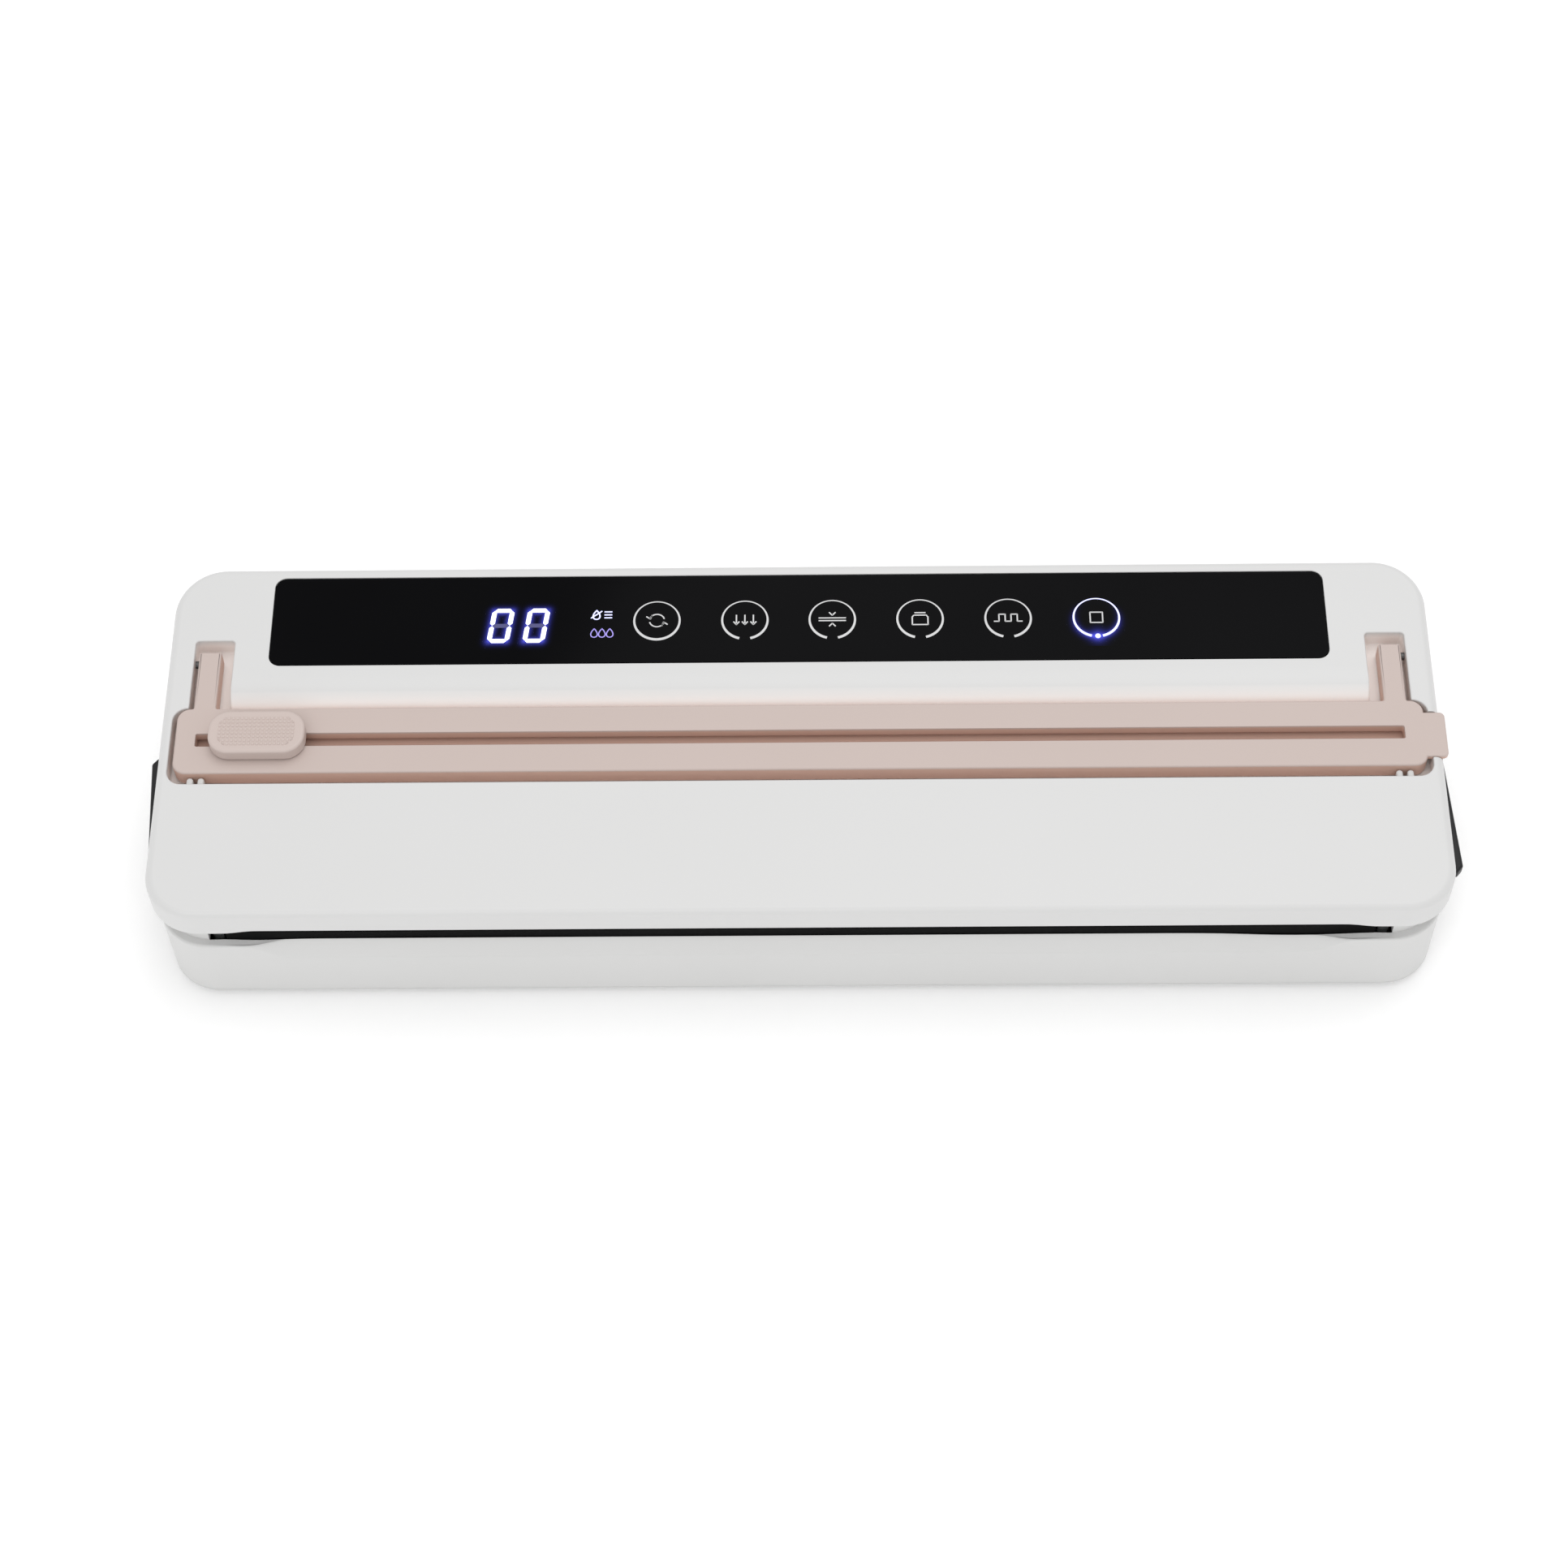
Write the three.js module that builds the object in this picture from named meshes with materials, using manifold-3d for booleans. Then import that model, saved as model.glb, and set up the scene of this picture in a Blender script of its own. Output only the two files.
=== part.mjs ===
// Compact household vacuum sealer: a low base with the vacuum chamber, heat bar, pump and
// power supply, and a hinged lid with a touch panel and a lift-up bag cutter.
// Millimetres, +Z up, -Y is the front where the bag goes in, origin under the middle at table level.
import * as THREE from 'three';
import { mergeVertices } from 'three/addons/utils/BufferGeometryUtils.js';
import Module from 'manifold-3d';

const wasm = await Module();
wasm.setup();

// ---------- driving dimensions ----------
const GAP = 0.3; // clearance between pieces that seat on or slide past each other
const PAST = 1; // how far a cutting solid reaches past the face it opens
const ROOT = 0.5; // how far a rib, boss or pin runs into the piece it grows from
const WELD = 1e-4; // points nearer than this are one point
const MIN_R = 1; // smallest corner radius left when an outline is moved in

// overall
const LID_WIDTH = 385;
const DEPTH = 123.5;
const CORNER_R = 15.5;
const FOOT_HEIGHT = 2;
const BASE_TOP = 29.6; // top of the outer wall of the base
const LID_TOP = 48.4;
const LID_HEIGHT = 11.3;
const BASE_INSET = 1.7; // how far the base's sides stand in from the lid's
const REAR_INSET = 0.5;
const BASE_EDGE_R = 1.2;

// base shell
const WALL = 2.4;
const DECK_TOP = 31;
const DECK_THICK = 2.8;
const LIP_INSET = 2.6; // upright lip inside the outer wall
const LIP_THICK = 2;
const LIP_TOP = 34.1;
const LIP_ROOT = 2;
const MOUTH_INSET = 27.5; // bag mouth's ends in from the lid's sides
const MOUTH_FLOOR = 30;
const MOUTH_REACH = 3; // how far the bag mouth runs in over the heat bar
const COVER_PLATE = 1; // visible edge of the bottom cover
const COVER_STEP = 1.6;
const COVER_SEAM = 0.1; // housing's lower edge above the cover's plate
const COVER_POST_R = 2.5;
const COVER_POST_INSET = 5; // posts under the board, in from its edges
const SCREW_INSET_X = 20.5;
const SCREW_INSET_Y = 17.5;
const BOSS_R = 4;
const SCREW_R = 1.4;
const SCREW_HEAD_R = 3;
const SCREW_LENGTH = 12;
const SCREW_SINK = 1.4; // depth of the hole that takes the screw's head
const SCREW_HEAD_Z = 1.1; // top of the head above the cover's underside
const PILOT_SPARE = 2;
const FOOT_R = 7;
const FOOT_INSET_X = 42;
const FOOT_INSET_Y = 15;
const FOOT_EDGE = 0.6;
const FOOT_SEAT = 0.9; // depth of the foot's seat in the cover
const FOOT_SEATED = 0.6;

// heat bar behind the front wall
const HEAT_SETBACK = 2.65; // front face of the bar behind the front of the base
const HEAT_WIDTH = 8;
const HEAT_INSET = 22.5; // bar's ends in from the lid's sides
const HEAT_TOP = 34;
const HEAT_FOOT = 20;
const STRIP_WIDTH = 5;
const STRIP_THICK = 0.3;
const STRIP_INSET = 2; // strip's ends in from the bar's
const TAPE_THICK = 0.3;
const TAPE_INSET = 1;
const TAPE_MARGIN = 0.4;
const CLIP_LENGTH = 4;
const CLIP_EASE = [1, 1.2, 1.1]; // body, riser and tongue, in from the bar's faces
const CLIP_FOOT = 24;
const CLIP_SHOULDER = 32;
const CLIP_TONGUE = 3.5; // how far the clip's tongue reaches in over the bar
const CLIP_TOP = 36.6;
const CLIP_SHEET = 1;

// vacuum chamber tray and its foam rings
const TRAY_INSET = 27.5;
const TRAY_SETBACK = 13.75; // front edge of the tray's flange behind the front of the base
const REAR_ZONE = 69.75; // room kept behind the tray for pump, supply and hinge
const TRAY_FLANGE = 1.5;
const TRAY_WALL = 1.8;
const TRAY_FLOOR = 15;
const FLANGE_WIDTH = 9;
const FOAM_WIDTH = 6;
const FOAM_INSET = 1.5;
const FOAM_SEAT = 0.7;
const FOAM_TOP = 34.3;
const PORT_Z = 22;
const PORT_R = 3;
const PORT_BORE = 1.5;
const PORT_LENGTH = 9;
const FLANGE_R = 9;
const TROUGH_R = 5;
const TROUGH_CLEAR = 0.5; // trough's clearance in the deck

// pump, valve and supply
const PUMP_X = 20;
const PUMP_Z = 16.6;
const PUMP_SETBACK = 35.75; // pump axis in front of the rear of the lid
const MOTOR_R = 11;
const MOTOR_LENGTH = 34;
const SHAFT_R = 1.2;
const CRANK_R = 7;
const CRANK_THROW = 3;
const CRANK_THICK = 3;
const CRANK_FROM_HEAD = 4; // crank disc from the pump head
const CRANK_TO_MOTOR = 2.5;
const CRANK_PIN = 8; // crank pin's length in front of the disc
const SHAFT_DEPTH = 5;
const MOTOR_BOSS_R = 4;
const MOTOR_BOSS = 2;
const NOZZLE_LENGTH = 5;
const CRANK_CLEAR = 1.2;
const HEAD_HOLLOW = 8;
const HEAD_SIZE = [24, 24, 19];
const VALVE_X = -30;
const VALVE_SIZE = [20, 18, 15];
const HOSE_R = 3.6;
const BOARD_X = -104;
const BOARD_SIZE = [86, 40, 1.6];
const BOARD_Z = 8;
const BOARD_SETBACK = 39.75; // middle of the board in front of the rear of the lid
const TRANSFORMER_SIZE = [24, 22, 16];
const WINDING_INSET = 4;
const WINDING_PROUD = 2;
const WINDING_STEP = 3; // winding's top above the core's
const INLET_X = -110;
const INLET_Z = 17.2;
const INLET_SIZE = [22, 15, 13.4];
const INLET_PIN_R = 1.2;
const INLET_PIN_PITCH = 8.6;
const INLET_SOCKET_R = 4.2;
const INLET_SOCKET_DEPTH = 12.6;
const INLET_FLANGE = [2, 1.5, 1.5]; // past the sides, thickness, past the top and bottom
const INLET_PIN_TAIL = 3;
const INLET_PIN_SUNK = 4;
const PORT2_X = 95; // rear hose socket for storage canisters
const PORT2_R = 6;
const PORT2_BORE = 1.8;
const PORT2_RIM = 1.5;
const PORT2_LENGTH = 8;

// hinge
const HINGE_INSET = 57.5;
const HINGE_SETBACK = 5; // axis in front of the rear of the lid
const HINGE_Z = 32.9;
const KNUCKLE_R = 3.2;
const KNUCKLE_WIDTH = 24;
const EAR_WIDTH = 6;
const EAR_TOP = 36.2;
const EAR_FRONT = 3.9; // ear's front face in front of the axis
const KNUCKLE_CLEAR = 0.4;
const HINGE_PIN_R = 1.5;

// side release buttons and latches
const LATCH_SETBACK = 46.15; // middle of the latch behind the front
const BUTTON_HALF = 21.6;
const BUTTON_BOTTOM = 22.8;
const BUTTON_TOP = 27;
const BUTTON_PROUD = 8; // highest end of the wedge, out from the base's side
const BUTTON_LOW = 5.4; // lowest end of the wedge
const BUTTON_CREST = 2; // highest point of the wedge in from its end
const BUTTON_CHAMFER = 1.6; // at the wedge's highest end
const BUTTON_EASE = [1.5, 0.2, 1.4]; // at its lowest end: length, rise and chamfer
const BUTTON_TRAVEL = 3;
const FLANGE_THICK = 1.9;
const FLANGE_RIM = 1.2;
const PLATE_Z = 24.5;
const PLATE_THICK = 1.2;
const PLATE_HALF = 9;
const PLATE_LENGTH = 15.9;
const HOOK_HALF = 6;
const HOOK_THICK = 3;
const HOOK_TOOTH = 2;
const HOOK_CLEAR = 1.5; // around the hook in the deck
const HOOK_BITE = 0.9; // tooth's hold under the latch plate
const HOOK_PAD = [3, 2, 1.4]; // pad past the hook in x and y, and its thickness
const WINDOW_CLEAR = 0.8;
const HOOK_X = 10.8; // outer face of the hook in from the base's side wall
const SPRING_R = 2.4;
const SPRING_WIRE = 0.35;
const SPRING_TURNS = 4;
const SPRING_OFFSET = 17;
const SPRING_LENGTH = 9.6;
const POST_HALF = 1.2;
const POST_DEPTH = 4;
const SWITCH_SIZE = [11, 6, 6];
const SWITCH_Z = 18;
const SWITCH_CLEAR = 0.6; // behind the latch plate
const SWITCH_PROUD = 1; // past the hook's outer face
const PLUNGER = [4, 2, 1.5]; // from the hook's outer face, width and rise

// lid
const LID_WALL = 2.2;
const LID_CEILING = 3;
const LID_EDGE_R = 1.8;
const MOUTH_RELIEF = 1.4;
const RELIEF_INSET = 28.5;
const LINER_THICK = 1.5;
const LINER_DROP = 0.1; // liner underside below the lid's lower edge
const LINER_REAR = 9.75;
const LINER_SCREW_R = 1.2;
const LINER_HEAD_R = 2.5;
const LINER_BOSS_R = 3.2;
const LINER_SCREW_BACK = 1.5; // liner's screws beyond the cover's
const LINER_SCREW_LENGTH = 5;
const LINER_HEAD = 1.1;
const SEAL_STRIP_THICK = 1.8;
const SEAL_STRIP_INSET = 26.5;
const GROOVE_DEPTH = 0.6;
const SEAL_STRIP_BACK = 0.2; // strip's front edge behind the bar's

// touch panel
const PANEL_INSET = 31;
const PANEL_DEPTH = 32.2;
const PANEL_SETBACK = 3.9;
const PANEL_THICK = 1.7;
const PANEL_R = 3.5;
const PANEL_LEDGE = 3;
const PANEL_MIN_R = 0.5;
const DISPLAY_SIZE = [230, 22, 1.4];
const DIGITS_X = -85.5;
const DIGITS_SIZE = [26, 16, 1.6];

// recess for the cutter
const RECESS_RIM = 3.4; // lid material left outside the recess
const RECESS_FRONT = 78.3; // recess front edge in front of the rear of the lid
const RECESS_REAR = 51.4;
const RECESS_DEPTH = 6.6;
const RECESS_FLOOR = 2.2;
const RECESS_WALL = 1.6;
const RECESS_R = 4.5;
const POCKET_OUTER = 8; // arm pocket in from the lid's side
const POCKET_WIDTH = 12;
const POCKET_REAR = 26.9;
const CONSOLE_ROUND = 11.4; // length of the rounded front of the console
const CONSOLE_WALL = 5;
const GROOVE_WIDTH = 1.6;
const BLADE_GROOVE = 1;
const NUB_R = 1;
const NUB_LENGTH = 3.2;
const NUB_HEIGHT = 4.8;
const NUB_INSET = 10.25; // outer nub in from the lid's side
const NUB_PITCH = 3.3;

// cutter frame, rail and slider
const FRAME_END = 1.4; // frame end clearance inside the recess
const FRAME_BACK = 0.2; // frame's clearance at the rear of the recess
const FRAME_WIDTH = 23.1;
const FRAME_THICK = 6;
const FRAME_PLATE = 3.2; // above the carrier's flange
const FRAME_SKIRT = 2.4;
const RAIL_CHANNEL = 1.4; // depth of the channel that takes the rail
const FRAME_R = 4;
const SLOT_SHIFT = 0.25; // slot's middle behind the frame's
const SLOT_WIDTH = 4.4;
const SLOT_END = 6.2; // frame material beyond the slot's end
const ARM_WIDTH = 6.7;
const ARM_OUTER = 9.5;
const ARM_REAR = 31.1;
const ARM_CHAMFER = 1.4;
const PIVOT_SETBACK = 33.5;
const PIVOT_DROP = 3.5;
const PIVOT_R = 1.2;
const PIVOT_LENGTH = 6.5;
const PIVOT_SHORT = 1.5;
const PIVOT_HOLD = 4; // pin's length inside the arm
const TAB_LENGTH = 15.6;
const TAB_THICK = 1.8;
const TAB_PROUD = 1.4; // past the lid's side
const TAB_DROP = 0.15;
const TAB_MIDDLE = -0.65; // tab middle from the middle of the frame
const RAIL_THICK = 1.2;
const RAIL_SLIT = 1.4;
const RAIL_END = 4.5; // rail's channel in from the frame's ends
const RAIL_LIFT = 0.1; // rail's underside above the frame's
const KNOB_LENGTH = 29;
const KNOB_WIDTH = 14.8;
const KNOB_HEIGHT = 4.7;
const KNOB_INSET = 30;
const KNOB_EDGE_R = 0.9;
const CARRIER_LENGTH = 24;
const CARRIER_WIDTH = 7.6;
const CARRIER_THICK = 0.9;
const CARRIER_SIDE = 0.5; // side clearance of the carrier in its channel
const NECK_LENGTH = 12;
const NECK_CLEAR = 0.4;
const NECK_INTO_KNOB = 2.2;
const KNOB_END_FLAT = 0.05;
const BLADE_LENGTH = 9;
const BLADE_THICK = 0.5;
const BLADE_INTO_GROOVE = 0.5;
const BLADE_HOLD = 3; // blade's height inside the carrier
const BLADE_POINT = 0.8;

// ---------- places worked out from the driving dimensions ----------
const FRONT = -DEPTH / 2;
const REAR = DEPTH / 2;
const LID_HALF = LID_WIDTH / 2;
const BASE_HALF = LID_HALF - BASE_INSET;
const MOUTH_HALF = LID_HALF - MOUTH_INSET;
const HEAT_HALF = LID_HALF - HEAT_INSET;
const TRAY_HALF = LID_HALF - TRAY_INSET;
const HINGE_X = LID_HALF - HINGE_INSET;
const RELIEF_HALF = LID_HALF - RELIEF_INSET;
const SEAL_STRIP_HALF = LID_HALF - SEAL_STRIP_INSET;
const PANEL_HALF = LID_HALF - PANEL_INSET;
const KNOB_X = -LID_HALF + KNOB_INSET;
const BASE_REAR = REAR - REAR_INSET;
const LID_BOTTOM = LID_TOP - LID_HEIGHT;
const COVER_TOP = FOOT_HEIGHT + COVER_PLATE + COVER_STEP;
const DECK_UNDER = DECK_TOP - DECK_THICK;
const TRAY_FRONT = FRONT + TRAY_SETBACK;
const TRAY_REAR = REAR - REAR_ZONE;
const HEAT_FRONT = FRONT + HEAT_SETBACK;
const HEAT_REAR = HEAT_FRONT + HEAT_WIDTH;
const HINGE_Y = REAR - HINGE_SETBACK;
const LATCH_Y = FRONT + LATCH_SETBACK;
const PUMP_Y = REAR - PUMP_SETBACK;
const LINER_BOTTOM = LID_BOTTOM - LINER_DROP;
const LINER_TOP = LINER_BOTTOM + LINER_THICK;
const RECESS_HALF = LID_HALF - RECESS_RIM;
const RECESS_Y0 = REAR - RECESS_FRONT;
const RECESS_Y1 = REAR - RECESS_REAR;
const RECESS_Z = LID_TOP - RECESS_DEPTH;
const FRAME_Y1 = RECESS_Y1 - FRAME_BACK;
const FRAME_Y0 = FRAME_Y1 - FRAME_WIDTH;
const FRAME_HALF = RECESS_HALF - FRAME_END;
const FRAME_Z = LID_TOP - FRAME_THICK;
const SLOT_Y = FRAME_Y0 + FRAME_WIDTH / 2 + SLOT_SHIFT;
const PIVOT_Y = REAR - PIVOT_SETBACK;
const PIVOT_Z = LID_TOP - PIVOT_DROP;

// ---------- materials ----------
const finish = (colour, roughness, metalness = 0) =>
  new THREE.MeshStandardMaterial({ color: colour, roughness, metalness });
const white = () => finish(0xe2e2e0, 0.42);
const rose = () => finish(0xd5c4be, 0.45);
const black = () => finish(0x141416, 0.5);
const steel = () => finish(0xb8babd, 0.3, 1);
const rubber = () => finish(0x1b1b1c, 0.85);
const green = () => finish(0x1f5a38, 0.5);

// ---------- solids ----------
function solidOf(geometry) {
  const plain = geometry.clone();
  plain.deleteAttribute('normal');
  plain.deleteAttribute('uv');
  const merged = mergeVertices(plain, WELD);
  const snapped = Array.from(merged.attributes.position.array, (value) => Math.round(value / WELD) * WELD);
  return new wasm.Manifold(new wasm.Mesh({
    numProp: 3,
    vertProperties: new Float32Array(snapped),
    triVerts: new Uint32Array(merged.index.array),
  }));
}

function geometryOf(solid) {
  const mesh = solid.getMesh();
  const geometry = new THREE.BufferGeometry();
  geometry.setAttribute('position', new THREE.BufferAttribute(mesh.vertProperties, 3));
  geometry.setIndex(new THREE.BufferAttribute(mesh.triVerts, 1));
  const flat = geometry.toNonIndexed();
  flat.computeVertexNormals();
  return flat;
}

function join(...geometries) {
  return geometryOf(geometries.map(solidOf).reduce((sum, next) => sum.add(next)));
}

function cut(body, ...tools) {
  return geometryOf(tools.map(solidOf).reduce((left, tool) => left.subtract(tool), solidOf(body)));
}

// box between two corners
function block(x0, x1, y0, y1, z0, z1) {
  const geometry = new THREE.BoxGeometry(x1 - x0, y1 - y0, z1 - z0);
  return geometry.translate((x0 + x1) / 2, (y0 + y1) / 2, (z0 + z1) / 2);
}

// rectangle with quarter-circle corners
function outline(x0, x1, y0, y1, r) {
  const shape = new THREE.Shape();
  shape.moveTo(x0 + r, y0);
  shape.lineTo(x1 - r, y0);
  shape.absarc(x1 - r, y0 + r, r, -Math.PI / 2, 0);
  shape.lineTo(x1, y1 - r);
  shape.absarc(x1 - r, y1 - r, r, 0, Math.PI / 2);
  shape.lineTo(x0 + r, y1);
  shape.absarc(x0 + r, y1 - r, r, Math.PI / 2, Math.PI);
  shape.lineTo(x0, y0 + r);
  shape.absarc(x0 + r, y0 + r, r, Math.PI, 1.5 * Math.PI);
  return shape;
}

// upright plate of an outline, between two heights
function slab(shape, z0, z1, segments = 6) {
  const geometry = new THREE.ExtrudeGeometry(shape, {
    depth: z1 - z0, bevelEnabled: false, curveSegments: segments,
  });
  return geometry.translate(0, 0, z0);
}

// plate whose upper edge is rounded with radius r
function roundedSlab(shape, z0, z1, r, segments = 6) {
  const skirt = 0.2; // upright part of the crown, half of it sunk in the plate below
  const crown = new THREE.ExtrudeGeometry(shape, {
    depth: skirt, bevelEnabled: true, bevelThickness: r, bevelSize: r, bevelOffset: -r,
    bevelSegments: 2, curveSegments: segments,
  });
  crown.translate(0, 0, z1 - r - skirt);
  return join(slab(shape, z0, z1 - r - skirt / 2, segments), crown);
}

// outline of the lid, moved in by a margin
function lidOutline(margin) {
  const r = Math.max(CORNER_R - margin, MIN_R);
  return outline(-LID_HALF + margin, LID_HALF - margin, FRONT + margin, REAR - margin, r);
}

// outline of the base, moved in by a margin
function baseOutline(margin) {
  const r = Math.max(CORNER_R - margin, MIN_R);
  return outline(-BASE_HALF + margin, BASE_HALF - margin, FRONT + margin, BASE_REAR - margin, r);
}

// round bar along an axis, from one end to the other
function rod(axis, from, to, a, b, r, segments = 16) {
  const geometry = new THREE.CylinderGeometry(r, r, to - from, segments);
  const middle = (from + to) / 2;
  if (axis === 'x') return geometry.rotateZ(-Math.PI / 2).translate(middle, a, b);
  if (axis === 'y') return geometry.translate(a, middle, b);
  return geometry.rotateX(Math.PI / 2).translate(a, b, middle);
}

// profile in Y and Z carried along X
function bar(shape, x0, x1) {
  const geometry = new THREE.ExtrudeGeometry(shape, {
    depth: x1 - x0, bevelEnabled: false, curveSegments: 6,
  });
  return geometry.rotateX(Math.PI / 2).rotateZ(Math.PI / 2).translate(x0, 0, 0);
}

// tube of radius r along a curve
function tube(curve, r, steps, sides) {
  const section = new THREE.Shape();
  for (let i = 0; i < sides; i += 1) {
    const angle = (2 * Math.PI * i) / sides;
    section[i ? 'lineTo' : 'moveTo'](r * Math.cos(angle), r * Math.sin(angle));
  }
  return new THREE.ExtrudeGeometry(section, { steps, bevelEnabled: false, extrudePath: curve });
}

// the same solid seen in the plane x = 0
function mirrored(geometry) {
  const copy = geometry.clone().scale(-1, 1, 1);
  const p = copy.attributes.position;
  for (let i = 0; i < p.count; i += 3) {
    const [x, y, z] = [p.getX(i), p.getY(i), p.getZ(i)];
    p.setXYZ(i, p.getX(i + 2), p.getY(i + 2), p.getZ(i + 2));
    p.setXYZ(i + 2, x, y, z);
  }
  copy.computeVertexNormals();
  return copy;
}

// ---------- assembly ----------
const group = new THREE.Group();
group.name = 'vacuum_sealer';

function place(name, geometry, material) {
  const mesh = new THREE.Mesh(geometry, material);
  mesh.name = name;
  group.add(mesh);
  return mesh;
}

// a piece modelled on the +X side, and its mirror image on the -X side
function placePair(name, geometry, makeMaterial) {
  const plain = geometry.index ? geometry.toNonIndexed() : geometry;
  place(`${name}_right`, plain, makeMaterial());
  place(`${name}_left`, mirrored(plain), makeMaterial());
}

// one point in each quarter, given its distances in from the sides, the front and the rear
function corners(insetX, insetY) {
  const list = [];
  for (const [yName, y] of [['front', FRONT + insetY], ['rear', REAR - insetY]]) {
    list.push([`${yName}_left`, -LID_HALF + insetX, y], [`${yName}_right`, LID_HALF - insetX, y]);
  }
  return list;
}

// ---------- base ----------
const SCREWS = corners(SCREW_INSET_X, SCREW_INSET_Y);
const FEET = corners(FOOT_INSET_X, FOOT_INSET_Y);
const SPRING_Y = LATCH_Y - SPRING_OFFSET;
const SPRING_Z = (BUTTON_BOTTOM + BUTTON_TOP) / 2;
const BUTTON_FLANGE_X = BASE_HALF - WALL - GAP; // outer face of the button's flange
const PLATE_X1 = BUTTON_FLANGE_X - FLANGE_THICK - GAP; // outer edge of the latch plate
const PLATE_X0 = PLATE_X1 - PLATE_LENGTH;
const HOOK_X1 = BASE_HALF - HOOK_X;
const HOOK_X0 = HOOK_X1 - HOOK_THICK;
const SPRING_X1 = PLATE_X1;
const SPRING_X0 = SPRING_X1 - SPRING_LENGTH;
const TROUGH = [TRAY_HALF - FLANGE_WIDTH, TRAY_FRONT + FLANGE_WIDTH, TRAY_REAR - FLANGE_WIDTH];

function troughOutline(margin) {
  const [half, y0, y1] = TROUGH;
  return outline(-half + margin, half - margin, y0 + margin, y1 - margin, Math.max(TROUGH_R - margin, MIN_R));
}

function baseHousing() {
  let body = join(
    roundedSlab(baseOutline(0), FOOT_HEIGHT + COVER_PLATE + COVER_SEAM, BASE_TOP, BASE_EDGE_R),
    slab(baseOutline(LIP_INSET), BASE_TOP - LIP_ROOT, LIP_TOP),
  );
  const well = slab(baseOutline(LIP_INSET + LIP_THICK), DECK_TOP, LIP_TOP + PAST);
  const inside = slab(baseOutline(WALL), 0, DECK_UNDER);
  const mouth = block(-MOUTH_HALF, MOUTH_HALF, FRONT - PAST, HEAT_FRONT + MOUTH_REACH,
    MOUTH_FLOOR, LIP_TOP + PAST);
  body = cut(body, well, inside, mouth);

  const ears = [-1, 1].map((side) => join(...[-1, 1].map((end) => {
    const near = side * HINGE_X + end * (KNUCKLE_WIDTH / 2 + GAP);
    const far = near + end * EAR_WIDTH;
    return block(Math.min(near, far), Math.max(near, far),
      HINGE_Y - EAR_FRONT, BASE_REAR - LIP_INSET, DECK_UNDER + ROOT, EAR_TOP);
  })));
  const bosses = SCREWS.map(([, x, y]) => rod('z', COVER_TOP + GAP, DECK_UNDER + PAST, x, y, BOSS_R));
  const posts = [-1, 1].map((side) => {
    const x = side * (SPRING_X0 - GAP - POST_HALF);
    const y = side > 0 ? SPRING_Y : 2 * LATCH_Y - SPRING_Y;
    return block(x - POST_HALF, x + POST_HALF, y - POST_DEPTH, y + POST_DEPTH,
      BUTTON_BOTTOM, DECK_UNDER + PAST);
  });
  body = join(body, ...ears, ...bosses, ...posts);

  const notches = [-1, 1].map((side) => block(
    side * HINGE_X - KNUCKLE_WIDTH / 2 - GAP, side * HINGE_X + KNUCKLE_WIDTH / 2 + GAP,
    HINGE_Y - EAR_FRONT, REAR + PAST, HINGE_Z - KNUCKLE_R - KNUCKLE_CLEAR, EAR_TOP + PAST));
  const pinReach = KNUCKLE_WIDTH / 2 + EAR_WIDTH + PAST;
  const pinHoles = [-1, 1].map((side) => rod('x', side * HINGE_X - pinReach, side * HINGE_X + pinReach,
    HINGE_Y, HINGE_Z, HINGE_PIN_R + GAP));
  const pilots = SCREWS.map(([, x, y]) =>
    rod('z', 0, FOOT_HEIGHT + SCREW_LENGTH + PILOT_SPARE, x, y, SCREW_R + GAP, 12));
  const heatWell = block(-HEAT_HALF - CLIP_LENGTH - PAST, HEAT_HALF + CLIP_LENGTH + PAST,
    HEAT_FRONT - GAP, HEAT_REAR + GAP, DECK_UNDER - PAST, LIP_TOP + PAST);
  const trayHole = slab(troughOutline(-TROUGH_CLEAR), DECK_UNDER - PAST, DECK_TOP + PAST);
  const sides = [-1, 1].flatMap((side) => {
    const x0 = Math.min(side * (BASE_HALF + PAST), side * (BASE_HALF - WALL - PAST));
    const window = block(x0, x0 + WALL + 2 * PAST, LATCH_Y - BUTTON_HALF - GAP, LATCH_Y + BUTTON_HALF + GAP,
      BUTTON_BOTTOM - GAP, BUTTON_TOP + GAP);
    const a = side * (HOOK_X0 - HOOK_TOOTH - HOOK_CLEAR);
    const b = side * (HOOK_X1 + HOOK_CLEAR);
    const slot = block(Math.min(a, b), Math.max(a, b), LATCH_Y - HOOK_HALF - HOOK_CLEAR,
      LATCH_Y + HOOK_HALF + HOOK_CLEAR, DECK_UNDER - PAST, DECK_TOP + PAST);
    return [window, slot];
  });
  const [inletWidth, , inletHeight] = INLET_SIZE;
  const inlet = block(INLET_X - inletWidth / 2 - GAP, INLET_X + inletWidth / 2 + GAP,
    BASE_REAR - WALL - PAST, BASE_REAR + PAST,
    INLET_Z - inletHeight / 2 - GAP, INLET_Z + inletHeight / 2 + GAP);
  const port = rod('y', BASE_REAR - WALL - PAST, BASE_REAR + PAST,
    PORT2_X, PUMP_Z, PORT2_R - PORT2_RIM + GAP);
  return cut(body, ...notches, ...pinHoles, ...pilots, heatWell, trayHole, ...sides, inlet, port);
}

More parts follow.
